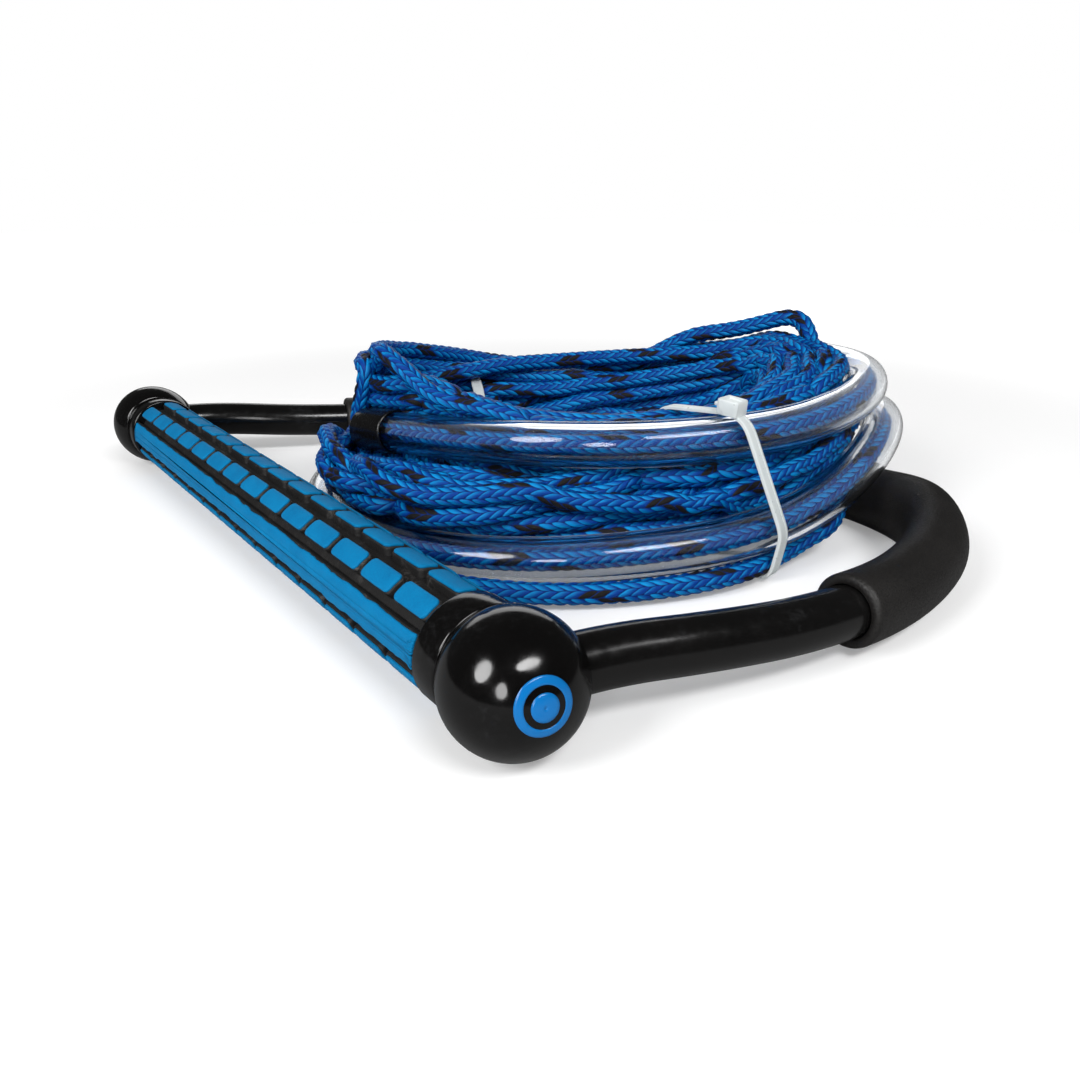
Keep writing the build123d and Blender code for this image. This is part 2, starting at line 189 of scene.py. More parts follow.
# one tone and its darker blotches, fine grain in roughness and bump, and a little dust
def plainFinish(name, colour, darker, roughness, grainScale=900.0, blotchScale=60.0, bump=0.15,
                bumpDepth=0.0002, dust=0.0, spread=0.08, **sockets):
    material, tree, shader = startMaterial(name, **sockets)
    grain = useGroup(tree, fineGrain, Scale=grainScale, Blotch_Scale=blotchScale)
    tone = mapRange(tree, grain.outputs["Blotch"], 0.3, 0.7, 0.0, 1.0)
    base = mixColour(tree, tone, darker, colour)
    rough = mapRange(tree, grain.outputs["Grain"], 0.3, 0.7, roughness - spread, roughness + spread)
    if dust > 0:
        settled = useGroup(tree, settledDust, Amount=dust)
        base = mixColour(tree, settled.outputs["Mask"], base, (0.32, 0.33, 0.35))
        rough = mathNode(tree, "ADD", rough, mathNode(tree, "MULTIPLY", settled.outputs["Mask"], 0.4))
    tree.links.new(base, shader.inputs["Base Color"])
    tree.links.new(rough, shader.inputs["Roughness"])
    tree.links.new(bumpNode(tree, grain.outputs["Height"], bump, bumpDepth), shader.inputs["Normal"])
    return material


glossBlack = plainFinish("glossBlackPlastic", (0.0022, 0.0020, 0.0020), (0.0012, 0.0011, 0.0011), 0.13,
                         grainScale=260.0, blotchScale=35.0, bump=0.04, bumpDepth=0.0003, dust=0.03,
                         spread=0.05, IOR=1.5)
sleeveVinyl = plainFinish("sleeveVinyl", (0.0034, 0.0032, 0.0031), (0.0020, 0.0019, 0.0019), 0.19,
                          grainScale=420.0, blotchScale=40.0, bump=0.05, bumpDepth=0.0003, dust=0.04,
                          spread=0.06)
capRubber = plainFinish("capRubber", (0.0040, 0.0038, 0.0037), (0.0024, 0.0023, 0.0022), 0.24,
                        grainScale=700.0, bump=0.08, dust=0.03, spread=0.07)
bushPlastic = plainFinish("bushPlastic", (0.72, 0.71, 0.68), (0.6, 0.6, 0.57), 0.45)
guidePlastic = plainFinish("guidePlastic", (0.06, 0.06, 0.065), (0.04, 0.04, 0.045), 0.5)
barMetal = plainFinish("barMetal", (0.7, 0.71, 0.72), (0.5, 0.51, 0.53), 0.34, Metallic=1.0)


def foamFinish():
    material, tree, shader = startMaterial("floatFoam")
    where = tree.nodes.new("ShaderNodeTexCoord").outputs["Object"]
    grain = useGroup(tree, fineGrain, Scale=1500.0, Blotch_Scale=70.0)
    cells = tree.nodes.new("ShaderNodeTexVoronoi")
    cells.inputs["Scale"].default_value = 1300.0
    tree.links.new(where, cells.inputs["Vector"])
    pores = mapRange(tree, cells.outputs["Distance"], 0.0, 0.55, 0.0, 1.0, True)
    tone = mapRange(tree, grain.outputs["Blotch"], 0.3, 0.72, 0.0, 1.0)
    base = mixColour(tree, tone, (0.0075, 0.0067, 0.0062), (0.0125, 0.0112, 0.0104))
    # painted shade: the recessed pores are mixed towards near black
    base = mixColour(tree, pores, (0.003, 0.003, 0.003), base)
    height = mathNode(tree, "ADD", mathNode(tree, "MULTIPLY", pores, 0.6), grain.outputs["Height"])
    tree.links.new(base, shader.inputs["Base Color"])
    rough = mapRange(tree, grain.outputs["Grain"], 0.3, 0.7, 0.42, 0.6)
    tree.links.new(rough, shader.inputs["Roughness"])
    tree.links.new(bumpNode(tree, height, 0.35, 0.0003), shader.inputs["Normal"])
    shader.inputs["Specular IOR Level"].default_value = 0.45
    return material


def gripRubberFinish():
    material, tree, shader = startMaterial("gripRubber")
    where = tree.nodes.new("ShaderNodeTexCoord").outputs["Object"]
    grain = useGroup(tree, fineGrain, Scale=1600.0, Blotch_Scale=140.0)
    creased = noiseNode(tree, where, 330.0, 6.0, 0.7)
    crease = mathNode(tree, "ABSOLUTE", mathNode(tree, "SUBTRACT", creased, 0.5))
    crease = mapRange(tree, crease, 0.0, 0.03, 1.0, 0.0, True)
    rubbed = mapRange(tree, grain.outputs["Blotch"], 0.5, 0.7, 0.0, 1.0, True)
    pale = mathNode(tree, "MULTIPLY", crease, rubbed)
    base = mixColour(tree, grain.outputs["Grain"], (0.0035, 0.0033, 0.0032), (0.0095, 0.009, 0.0086))
    base = mixColour(tree, mathNode(tree, "MULTIPLY", pale, 0.55), base, (0.12, 0.115, 0.11))
    tree.links.new(base, shader.inputs["Base Color"])
    rough = mapRange(tree, grain.outputs["Grain"], 0.3, 0.7, 0.5, 0.68)
    tree.links.new(rough, shader.inputs["Roughness"])
    height = mathNode(tree, "ADD", grain.outputs["Height"], mathNode(tree, "MULTIPLY", creased, 0.8))
    tree.links.new(bumpNode(tree, height, 0.5, 0.0004), shader.inputs["Normal"])
    return material


def suedeFinish():
    material, tree, shader = startMaterial("blueSuede")
    grain = useGroup(tree, fineGrain, Scale=2200.0, Blotch_Scale=110.0)
    tone = mapRange(tree, grain.outputs["Blotch"], 0.3, 0.7, 0.0, 1.0)
    base = mixColour(tree, tone, (0.0005, 0.118, 0.285), (0.0010, 0.152, 0.345))
    nap = mapRange(tree, grain.outputs["Grain"], 0.35, 0.7, 0.0, 0.5)
    base = mixColour(tree, nap, base, (0.0020, 0.200, 0.42))
    tree.links.new(base, shader.inputs["Base Color"])
    tree.links.new(mapRange(tree, grain.outputs["Grain"], 0.3, 0.7, 0.52, 0.72), shader.inputs["Roughness"])
    tree.links.new(bumpNode(tree, grain.outputs["Height"], 0.3, 0.00025), shader.inputs["Normal"])
    shader.inputs["Specular IOR Level"].default_value = 0.07
    return material


def clearVinylFinish():
    material, tree, shader = startMaterial("clearVinyl", Transmission_Weight=1.0, IOR=1.38)
    shader.inputs["Base Color"].default_value = (0.86, 0.88, 0.90, 1)
    where = tree.nodes.new("ShaderNodeTexCoord").outputs["Object"]
    haze = noiseNode(tree, where, 55.0, 2.0, 0.5)
    tree.links.new(mapRange(tree, haze, 0.3, 0.7, 0.03, 0.10), shader.inputs["Roughness"])
    tree.links.new(bumpNode(tree, noiseNode(tree, where, 90.0, 2.0), 0.04, 0.0006), shader.inputs["Normal"])
    return material


def nylonFinish():
    material, tree, shader = startMaterial("whiteNylon", Transmission_Weight=0.25, IOR=1.5)
    grain = useGroup(tree, fineGrain, Scale=700.0, Blotch_Scale=90.0)
    base = mixColour(tree, grain.outputs["Blotch"], (0.66, 0.71, 0.72), (0.80, 0.84, 0.84))
    tree.links.new(base, shader.inputs["Base Color"])
    tree.links.new(mapRange(tree, grain.outputs["Grain"], 0.3, 0.7, 0.26, 0.42), shader.inputs["Roughness"])
    tree.links.new(bumpNode(tree, grain.outputs["Height"], 0.1, 0.0002), shader.inputs["Normal"])
    shader.inputs["Subsurface Weight"].default_value = 0.25
    shader.inputs["Subsurface Radius"].default_value = (0.002, 0.002, 0.002)
    return material


def badgeFinish():
    material, tree, shader = startMaterial("badgeBlue")
    grain = useGroup(tree, fineGrain, Scale=900.0, Blotch_Scale=120.0)
    base = mixColour(tree, grain.outputs["Blotch"], (0.0006, 0.125, 0.38), (0.0012, 0.150, 0.44))
    tree.links.new(base, shader.inputs["Base Color"])
    tree.links.new(mapRange(tree, grain.outputs["Grain"], 0.3, 0.7, 0.14, 0.24), shader.inputs["Roughness"])
    return material


floatFoam = foamFinish()
gripRubber = gripRubberFinish()
blueSuede = suedeFinish()
clearVinyl = clearVinylFinish()
whiteNylon = nylonFinish()
badgeBlue = badgeFinish()

# braid: leaf-shaped yarns in columns that lean by turns, with dark fleck yarns
braid = {
    "columns": 8, "pitch": 4.2, "slant": 0.46, "relief": 0.56, "around": 16, "step": 1.12,
    "fleckEvery": 4.4, "lineWidth": 7.4,
}


# the braid drawn in the rope's own lay: along the rope in U, column round it in V
def ropeFinish(name):
    material, tree, shader = startMaterial(name)
    lay = tree.nodes.new("ShaderNodeUVMap")
    lay.uv_map = "ropeLay"
    split = tree.nodes.new("ShaderNodeSeparateXYZ")
    tree.links.new(lay.outputs[0], split.inputs[0])
    along, around = split.outputs["X"], split.outputs["Y"]
    column = mathNode(tree, "FLOOR", around)
    across = mathNode(tree, "SUBTRACT", mathNode(tree, "FRACT", around), 0.5)
    odd = mathNode(tree, "MODULO", column, 2.0)
    lean = mathNode(tree, "MULTIPLY_ADD", odd, -2.0, 1.0)
    shifted = mathNode(tree, "ADD", along, mathNode(tree, "MULTIPLY", odd, 0.5))
    slanted = mathNode(tree, "MULTIPLY", mathNode(tree, "MULTIPLY", across, lean), braid["slant"] * 2)
    shifted = mathNode(tree, "ADD", shifted, slanted)
    pick = mathNode(tree, "FLOOR", shifted)
    inPick = mathNode(tree, "SUBTRACT", mathNode(tree, "FRACT", shifted), 0.5)
    edgeAlong = mathNode(tree, "MULTIPLY", mathNode(tree, "ABSOLUTE", inPick), 2.0)
    edgeAcross = mathNode(tree, "MULTIPLY", mathNode(tree, "ABSOLUTE", across), 2.0)
    bulge = mathNode(tree, "ADD", mathNode(tree, "POWER", edgeAlong, 3.0),
                     mathNode(tree, "MULTIPLY", mathNode(tree, "POWER", edgeAcross, 3.0), 0.8))
    dome = mathNode(tree, "SUBTRACT", 1.0, bulge, clamp=True)
    # fibres run along each leaf
    fibreAt = tree.nodes.new("ShaderNodeCombineXYZ")
    tree.links.new(mathNode(tree, "MULTIPLY", shifted, 1.3), fibreAt.inputs[0])
    turned = mathNode(tree, "ADD", mathNode(tree, "MULTIPLY", across, 9.0),
                      mathNode(tree, "MULTIPLY", mathNode(tree, "MULTIPLY", inPick, lean), 5.0))
    tree.links.new(turned, fibreAt.inputs[1])
    tree.links.new(column, fibreAt.inputs[2])
    fibre = noiseNode(tree, fibreAt.outputs[0], 2.6, 3.0, 0.6)
    # each leaf has its own tone, with painted sheen added: columns of one lean are lighter, each leaf
    # lightens towards one end, and the fibre streaks are partly real fibre and partly painted sheen
    leafAt = tree.nodes.new("ShaderNodeCombineXYZ")
    tree.links.new(pick, leafAt.inputs[0])
    tree.links.new(column, leafAt.inputs[1])
    own = tree.nodes.new("ShaderNodeTexWhiteNoise")
    own.noise_dimensions = "2D"
    tree.links.new(leafAt.outputs[0], own.inputs["Vector"])
    tone = mathNode(tree, "MULTIPLY_ADD", own.outputs["Value"], 0.30, mathNode(tree, "MULTIPLY", odd, 0.20))
    tone = mathNode(tree, "ADD", tone, mathNode(tree, "MULTIPLY", inPick, 0.75))
    tone = mathNode(tree, "ADD", tone, mathNode(tree, "MULTIPLY", fibre, 0.45))
    # random tone and painted sheen together set how far each leaf goes from deep blue to cyan
    toneAndSheen = mapRange(tree, tone, 0.2, 0.95, 0.0, 1.0, True)
    blue = mixColour(tree, toneAndSheen, (0.0002, 0.038, 0.245), (0.0004, 0.238, 0.575))
    # a fleck yarn comes up at one place in each cell, on a column that moves on round the rope
    cell = mathNode(tree, "FLOOR", mathNode(tree, "DIVIDE", pick, braid["fleckEvery"]))
    chance = tree.nodes.new("ShaderNodeTexWhiteNoise")
    chance.noise_dimensions = "1D"
    tree.links.new(cell, chance.inputs["W"])
    rest = mathNode(tree, "SUBTRACT", pick, mathNode(tree, "MULTIPLY", cell, braid["fleckEvery"]))
    wobble = mathNode(tree, "MULTIPLY", chance.outputs["Value"], 2.0)
    moving = mathNode(tree, "ADD", mathNode(tree, "MULTIPLY", cell, 3.0), wobble)
    apart = mathNode(tree, "SUBTRACT", column, mathNode(tree, "FLOOR", moving))
    apart = mathNode(tree, "FLOORED_MODULO", apart, float(braid["columns"]))
    one = mathNode(tree, "MULTIPLY", mathNode(tree, "LESS_THAN", apart, 0.5),
                   mathNode(tree, "LESS_THAN", rest, 1.9))
    two = mathNode(tree, "MULTIPLY", mathNode(tree, "COMPARE", apart, 1.0, 0.4),
                   mathNode(tree, "MULTIPLY", mathNode(tree, "GREATER_THAN", rest, 0.5),
                            mathNode(tree, "LESS_THAN", rest, 2.9)))
    fleck = mathNode(tree, "MAXIMUM", one, two)
    dark = mixColour(tree, fibre, (0.0015, 0.0015, 0.002), (0.020, 0.018, 0.018))
    blue = mixColour(tree, fleck, blue, dark)
    # painted shade: the low gaps between leaves, where the yarns tuck under, are mixed towards deep dark
    # blue
    base = mixColour(tree, mapRange(tree, dome, 0.0, 0.5, 0.0, 1.0, True), (0.0003, 0.018, 0.125), blue)
    tree.links.new(base, shader.inputs["Base Color"])
    tree.links.new(mapRange(tree, fibre, 0.3, 0.7, 0.34, 0.55), shader.inputs["Roughness"])
    height = mathNode(tree, "ADD", dome, mathNode(tree, "MULTIPLY", fibre, 0.5))
    tree.links.new(bumpNode(tree, height, 0.55, 0.0005), shader.inputs["Normal"])
    shader.inputs["Specular IOR Level"].default_value = 0.12
    return material


lineRope = ropeFinish("lineRope")


# small tools for shapes
def addMesh(name, verts, faces, material, smooth=True):
    mesh = bpy.data.meshes.new(name)
    mesh.from_pydata([tuple(v) for v in verts], [], faces)
    mesh.validate()
    mesh.materials.append(material)
    if smooth:
        mesh.shade_smooth()
    obj = bpy.data.objects.new(name, mesh)
    collection.objects.link(obj)
    return obj


def sharpen(obj, degrees=35):
    mesh = obj.data
    work = bmesh.new()
    work.from_mesh(mesh)
    for edge in work.edges:
        if len(edge.link_faces) == 2 and edge.calc_face_angle(0) > math.radians(degrees):
            edge.smooth = False
    work.to_mesh(mesh)
    work.free()


# a smooth line led by the points
def routeLine(name, points, samples=8):
    curve = bpy.data.curves.new(name, "CURVE")
    curve.dimensions = "3D"
    curve.resolution_u = samples
    spline = curve.splines.new("NURBS")
    spline.points.add(len(points) - 1)
    for point, at in zip(spline.points, toFrame(points)):
        point.co = (*at, 1.0)
    spline.order_u = 3
    spline.use_endpoint_u = True
    holder = bpy.data.objects.new(name, curve)
    collection.objects.link(holder)
    mesh = bpy.data.meshes.new_from_object(holder)
    line = np.array([v.co for v in mesh.vertices])
    bpy.data.objects.remove(holder)
    bpy.data.meshes.remove(mesh)
    bpy.data.curves.remove(curve)
    return fromFrame(line)


def resample(line, step):
    line = np.asarray(line, float)
    gaps = np.linalg.norm(np.diff(line, axis=0), axis=1)
    keep = np.concatenate([[True], gaps > 1e-6])
    line = line[keep]
    reach = np.concatenate([[0.0], np.cumsum(np.linalg.norm(np.diff(line, axis=0), axis=1))])
    count = max(2, int(round(reach[-1] / step)) + 1)
    at = np.linspace(0, reach[-1], count)
    return np.stack([np.interp(at, reach, line[:, k]) for k in range(3)], axis=1), at


# directions carried along a line without twist
def carriedFrames(line, up=(0.0, 0.0, 1.0)):
    ahead = np.gradient(line, axis=0)
    ahead /= np.linalg.norm(ahead, axis=1)[:, None]
    side = np.zeros_like(ahead)
    first = np.array(up) - ahead[0] * np.dot(up, ahead[0])
    side[0] = first / np.linalg.norm(first)
    for k in range(1, len(line)):
        turned = side[k - 1] - ahead[k] * np.dot(side[k - 1], ahead[k])
        side[k] = turned / np.linalg.norm(turned)
    return ahead, side, np.cross(ahead, side)


def ringFaces(rings, around):
    i = np.arange(rings - 1)[:, None] * around
    j = np.arange(around)[None, :]
    k = (j + 1) % around
    return np.stack([i + j, i + k, i + around + k, i + around + j], axis=-1).reshape(-1, 4)


# the faces that join the last ring to the first
def closingFaces(rings, around):
    j = np.arange(around)
    k = (j + 1) % around
    last = (rings - 1) * around
    return np.stack([last + j, last + k, k, j], axis=-1).tolist()


# a bent pipe with rounded ends; stretch and lift reshape single rings
def pipeMesh(name, line, outer, inner, material, rounding=1.2, around=48, stretch=None, lift=None):
    ahead = carriedFrames(line)[0]
    angles = np.linspace(0, tau, around, endpoint=False)
    rings = []

    def ring(k, radius, shift=0.0):
        wide, high = stretch(k) if stretch else (1.0, 1.0)
        rise = lift(k) if lift else 0.0
        centre = line[k] + ahead[k] * shift + np.array([0, 0, rise])
        flat = np.cross(ahead[k], (0, 0, 1.0))
        flat /= np.linalg.norm(flat)
        top = np.cross(flat, ahead[k])
        rings.append(centre + radius * (np.cos(angles)[:, None] * top * high
                                        + np.sin(angles)[:, None] * flat * wide))

    def clearOfEnds(k, room):
        return min(np.linalg.norm(line[k] - line[0]), np.linalg.norm(line[k] - line[-1])) > room

    last, roundSteps, lip, lipDepth = len(line) - 1, 5, 0.3, 0.4
    for step in range(roundSteps + 1):
        turn = step / roundSteps * math.pi / 2
        ring(0, outer - rounding * (1 - math.sin(turn)), rounding * (1 - math.cos(turn)))
    for k in range(1, last):
        if clearOfEnds(k, rounding * 1.2):
            ring(k, outer)
    for step in range(roundSteps, -1, -1):
        turn = step / roundSteps * math.pi / 2
        ring(last, outer - rounding * (1 - math.sin(turn)), -rounding * (1 - math.cos(turn)))
    ring(last, inner + lip, 0.0)
    ring(last, inner, -lipDepth)
    for k in range(last - 1, 0, -1):
        if clearOfEnds(k, 1.2):
            ring(k, inner)
    ring(0, inner, lipDepth)
    ring(0, inner + lip, 0.0)
    faces = ringFaces(len(rings), around).tolist() + closingFaces(len(rings), around)
    return addMesh(name, toFrame(np.concatenate(rings)), faces, material)


# a profile of (along, radius) turned about an axis
def lathed(name, profile, material, centre, axis, around=96, closed=True):
    axis = np.array(axis, float) / np.linalg.norm(axis)
    other = np.array([0, 0, 1.0]) if abs(axis[2]) < 0.9 else np.array([1.0, 0, 0])
    first = np.cross(axis, other)
    first /= np.linalg.norm(first)
    second = np.cross(axis, first)
    angles = np.linspace(0, tau, around, endpoint=False)
    outwards = np.cos(angles)[:, None] * first + np.sin(angles)[:, None] * second
    rings = [np.array(centre) + axis * a + r * outwards for a, r in profile]
    faces = ringFaces(len(rings), around).tolist()
    if closed:
        faces += closingFaces(len(rings), around)
    return addMesh(name, toFrame(np.concatenate(rings)), faces, material)


# rope with raised leaves, and the lay its finish is drawn in
def braidMesh(name, line, width, material, phase=0.0):
    around, columns = braid["around"], braid["columns"]
    ahead, side, across = carriedFrames(line)
    reach = np.concatenate([[0.0], np.cumsum(np.linalg.norm(np.diff(line, axis=0), axis=1))])
    along = reach / braid["pitch"]
    angle = np.arange(around) / around
    columnGrid = np.tile(angle * columns + 0.5, (len(line), 1))
    alongGrid = np.tile(along[:, None], (1, around))
    column = np.floor(columnGrid)
    inColumn = columnGrid - column - 0.5
    odd = np.mod(column, 2)
    lean = 1 - 2 * odd
    shifted = alongGrid + 0.5 * odd + inColumn * lean * braid["slant"] * 2
    inPick = np.mod(shifted, 1.0) - 0.5
    bulge = 1 - np.abs(2 * inPick) ** 3 - 0.8 * np.abs(2 * inColumn) ** 3
    relief = (np.clip(bulge, 0, 1) - 0.55) * braid["relief"]
    radius = width / 2 - 0.15 + relief
    turn = angle * tau + phase
    offsets = (np.cos(turn)[None, :, None] * side[:, None, :]
               + np.sin(turn)[None, :, None] * across[:, None, :])
    verts = (line[:, None, :] + offsets * radius[:, :, None]).reshape(-1, 3)
    count = len(line)
    quads = ringFaces(count, around)
    # round closed ends
    tip = width * 0.2
    verts = np.concatenate([verts, [line[0] - ahead[0] * tip, line[-1] + ahead[-1] * tip]])
    j = np.arange(around)
    base = (count - 1) * around
    startTris = np.stack([(j + 1) % around, j, np.full(around, count * around)], axis=-1)
    endTris = np.stack([base + j, base + (j + 1) % around, np.full(around, count * around + 1)], axis=-1)
    mesh = bpy.data.meshes.new(name)
    loops = np.concatenate([quads.ravel(), startTris.ravel(), endTris.ravel()]).astype(np.int32)
    sizes = np.concatenate([np.full(len(quads), 4), np.full(2 * around, 3)])
    mesh.vertices.add(len(verts))
    mesh.vertices.foreach_set("co", toFrame(verts).astype(np.float32).ravel())
    mesh.loops.add(len(loops))
    mesh.loops.foreach_set("vertex_index", loops)
    mesh.polygons.add(len(sizes))
    starts = np.concatenate([[0], np.cumsum(sizes)[:-1]]).astype(np.int32)
    mesh.polygons.foreach_set("loop_start", starts)
    mesh.polygons.foreach_set("loop_total", sizes.astype(np.int32))
    mesh.update(calc_edges=True)
    lay = mesh.uv_layers.new(name="ropeLay")
    flat = mesh.uv_layers.new(name="OFBake")
    rows = max(1, int(math.ceil(math.sqrt(reach[-1] / (math.pi * width)))))
    perRow = int(math.ceil((count - 1) / rows))
    ringIndex = np.repeat(np.arange(count - 1), around)
    spot = np.tile(np.arange(around), count - 1)
    corner = np.array([[0, 0], [0, 1], [1, 1], [1, 0]])
    u = along[ringIndex[:, None] + corner[None, :, 0]]
    v = (spot[:, None] + corner[None, :, 1]) / around * columns + 0.5
    quadLay = np.stack([u, v], axis=-1).reshape(-1, 2)
    rowOf = ringIndex // perRow
    fu = ((ringIndex - rowOf * perRow)[:, None] + corner[None, :, 0]) / perRow * 0.996 + 0.002
    fv = (rowOf[:, None] + 0.04 + 0.92 * (spot[:, None] + corner[None, :, 1]) / around) / rows
    quadFlat = np.stack([fu, fv], axis=-1).reshape(-1, 2)
    capLay = np.zeros((around * 6, 2))
    capFlat = np.full((around * 6, 2), 0.001)
    lay.data.foreach_set("uv", np.concatenate([quadLay, capLay]).astype(np.float32).ravel())
    flat.data.foreach_set("uv", np.concatenate([quadFlat, capFlat]).astype(np.float32).ravel())
    mesh.materials.append(material)
    mesh.shade_smooth()
    obj = bpy.data.objects.new(name, mesh)
    collection.objects.link(obj)
    return obj


def dress(node, material):
    obj = cadNodes[node]
    obj.data.materials.clear()
    obj.data.materials.append(material)


print("finishes ready")

# routes of the bridle and of the line to the end of its clear tube
bridle = {
    "loop": [(25, -151.8, 18.2), (53, -162.4, 16.6), (84, -170.6, 14.2), (118, -173.6, 12.2),
             (146, -171, 11.6), (171, -164.6, 11.5), (190, -148, 11.5), (199, -124, 11.5),
             (199.5, -94, 11.5), (205, -52, 11.5), (208, -8, 11.5), (202, 36, 11.5),
             (181, 74, 11.5), (148, 96, 11.5), (108, 107, 12.2), (64, 121.5, 15.2), (26, 144.8, 18.2)],
    "ballY": 147.5, "sleeveOuter": 8.0, "sleeveInner": 5.8, "floatOuter": 11.2, "floatInner": 8.15,
}
trunk = {
    "route": [(217, -1, 11.5), (238, -5, 12), (251, -17, 14.5), (258, -36, 20), (258, -60, 28),
              (249, -84, 34), (231, -105, 36.5), (204, -120.5, 35), (172, -128, 26.5), (139, -128.5, 19),
              (107, -122, 16), (78, -109, 15), (54, -90, 13), (37, -65, 10.5), (27, -36, 9),
              (24.5, -5, 8.6), (31, 26, 8.6), (52, 50, 9), (82, 61, 10.5), (114, 60, 15), (146, 51, 24),
              (178, 35, 35), (208, 11, 44), (229, -18, 50), (239, -51, 53), (235, -84, 54),
              (214, -107, 53.5), (182, -118, 51), (148, -117.5, 48), (118, -108.5, 46.8),
              (92, -92.5, 46), (73, -69, 44.5), (62, -44, 42), (56, -17, 39.2), (51, 18, 35)],
    "outer": 8.0, "inner": 5.8, "lead": 8.0, "capRadius": 8.8, "capLength": 20.0, "innerCap": 7.0,
}
nearBall = np.array([0.0, -bridle["ballY"], barZ])
farBall = np.array([0.0, bridle["ballY"], barZ])


def halfway(a, b):
    return tuple((np.array(a, float) + np.array(b, float)) / 2)


loop = bridle["loop"]
nearSleeveLine = routeLine("nearSleeveRoute", [tuple(nearBall + (np.array(loop[0]) - nearBall) * 0.42),
                                               *loop[:4], halfway(loop[3], loop[4])])
farSleeveLine = routeLine("farSleeveRoute", [halfway(loop[13], loop[14]), *loop[14:],
                                             tuple(farBall + (np.array(loop[-1]) - farBall) * 0.42)])
floatLine = routeLine("floatRoute", [halfway(loop[2], loop[3]), *loop[3:15], halfway(loop[14], loop[15])])
trunkLine = routeLine("trunkRoute", trunk["route"])
nearSleeveLine, _ = resample(nearSleeveLine, 3.0)
farSleeveLine, _ = resample(farSleeveLine, 3.0)
floatLine, floatAt = resample(floatLine, 3.0)
trunkLine, trunkAt = resample(trunkLine, 3.0)

# hank: turns are laid in an oval ring and pushed apart until they lie side by side
hank = {
    "middle": (123.0, -36.0), "turned": -27.7, "longHalf": 92.5, "shortHalf": 56.75, "band": 43.0,
    "turns": 33, "columns": 4, "stations": 72, "spacing": 7.1, "seed": 11, "wander": (7.0, 9.0),
    # how the turns are pushed: rounds, pull to their own place, sag, smoothing and its share of the rounds
    "rounds": 420, "homePull": 0.02, "sag": 0.05, "ease": 0.3, "easeShare": 0.93, "push": 0.38,
    "tubeOutside": 2.0,             # where the tube lies further out than this, the turns stay inside it
    # the upper run of the tube and its cap stay in sight from here
    "front": (-94.8, -275.2, 123.3), "ahead": (0.576, 0.715, -0.396), "clear": 13.2, "shownFrom": 0.775,
    "change": 14,                   # the station where one turn becomes the next
    "behindRow": 6,                 # rows from here up pass behind the tube's upper run
    "beneath": 16,                  # the turn that lies under the tube at the front
    # tables of (degrees round the hank, value)
    "top": [(0, 67), (30, 70), (60, 67), (90, 62), (112, 62), (132, 71), (155, 80), (180, 76), (205, 62),
            (240, 56), (270, 55), (300, 55), (330, 61)],
    "bottom": [(0, 26), (20, 24), (45, 10), (70, 3), (90, 1.9), (180, 1.9), (270, 1.9), (300, 3),
               (320, 12), (340, 24)],
    "inner": [(0, 0), (130, 0), (155, 14), (180, 27), (225, 27), (245, 16), (262, 6), (280, 0)],
    "pull": [(0, 0), (140, 0), (165, -3.0), (180, -4.0), (200, -3.0), (225, 0)],
    "outward": [(0, -99), (136, -99), (141, -2), (147, 4), (154, 3), (160, -8), (166, -99)],
    "under": [(0, 0), (218, 0), (235, 1), (312, 1), (330, 0)],
}


def ringTable(pairs, degrees):
    xs = np.array([p[0] for p in pairs], float)
    ys = np.array([p[1] for p in pairs], float)
    xs = np.concatenate([xs - 360, xs, xs + 360])
    ys = np.tile(ys, 3)
    return np.interp(degrees, xs, ys)


turnedBy = math.radians(hank["turned"])
hankTurn = np.array([[math.cos(turnedBy), -math.sin(turnedBy)], [math.sin(turnedBy), math.cos(turnedBy)]])
stationAngle = math.pi - np.arange(hank["stations"]) / hank["stations"] * tau
stationDegrees = np.degrees(stationAngle) % 360
longHalf, shortHalf = hank["longHalf"], hank["shortHalf"]
stationMid = np.stack([longHalf * np.cos(stationAngle), shortHalf * np.sin(stationAngle)], 1)
stationOut = np.stack([shortHalf * np.cos(stationAngle), longHalf * np.sin(stationAngle)], 1)
stationOut /= np.linalg.norm(stationOut, axis=1)[:, None]
stationMid = stationMid @ hankTurn.T + np.array(hank["middle"])
stationOut = stationOut @ hankTurn.T
stationMid += stationOut * ringTable(hank["pull"], stationDegrees)[:, None]
topAt = ringTable(hank["top"], stationDegrees)
bottomAt = ringTable(hank["bottom"], stationDegrees)


# where a line passes through a station's plane: (outward, height)
def crossings(line, station, reach=34.0):
    out = stationOut[station]
    along = np.array([-out[1], out[0]])
    away = line[:, :2] - stationMid[station]
    s, u = away @ along, away @ out
    found = []
    for k in np.nonzero(s[:-1] * s[1:] <= 0)[0]:
        share = s[k] / (s[k] - s[k + 1] + 1e-9)
        at = u[k] + (u[k + 1] - u[k]) * share
        if abs(at) < reach:
            found.append((at, line[k, 2] + (line[k + 1, 2] - line[k, 2]) * share))
    return found


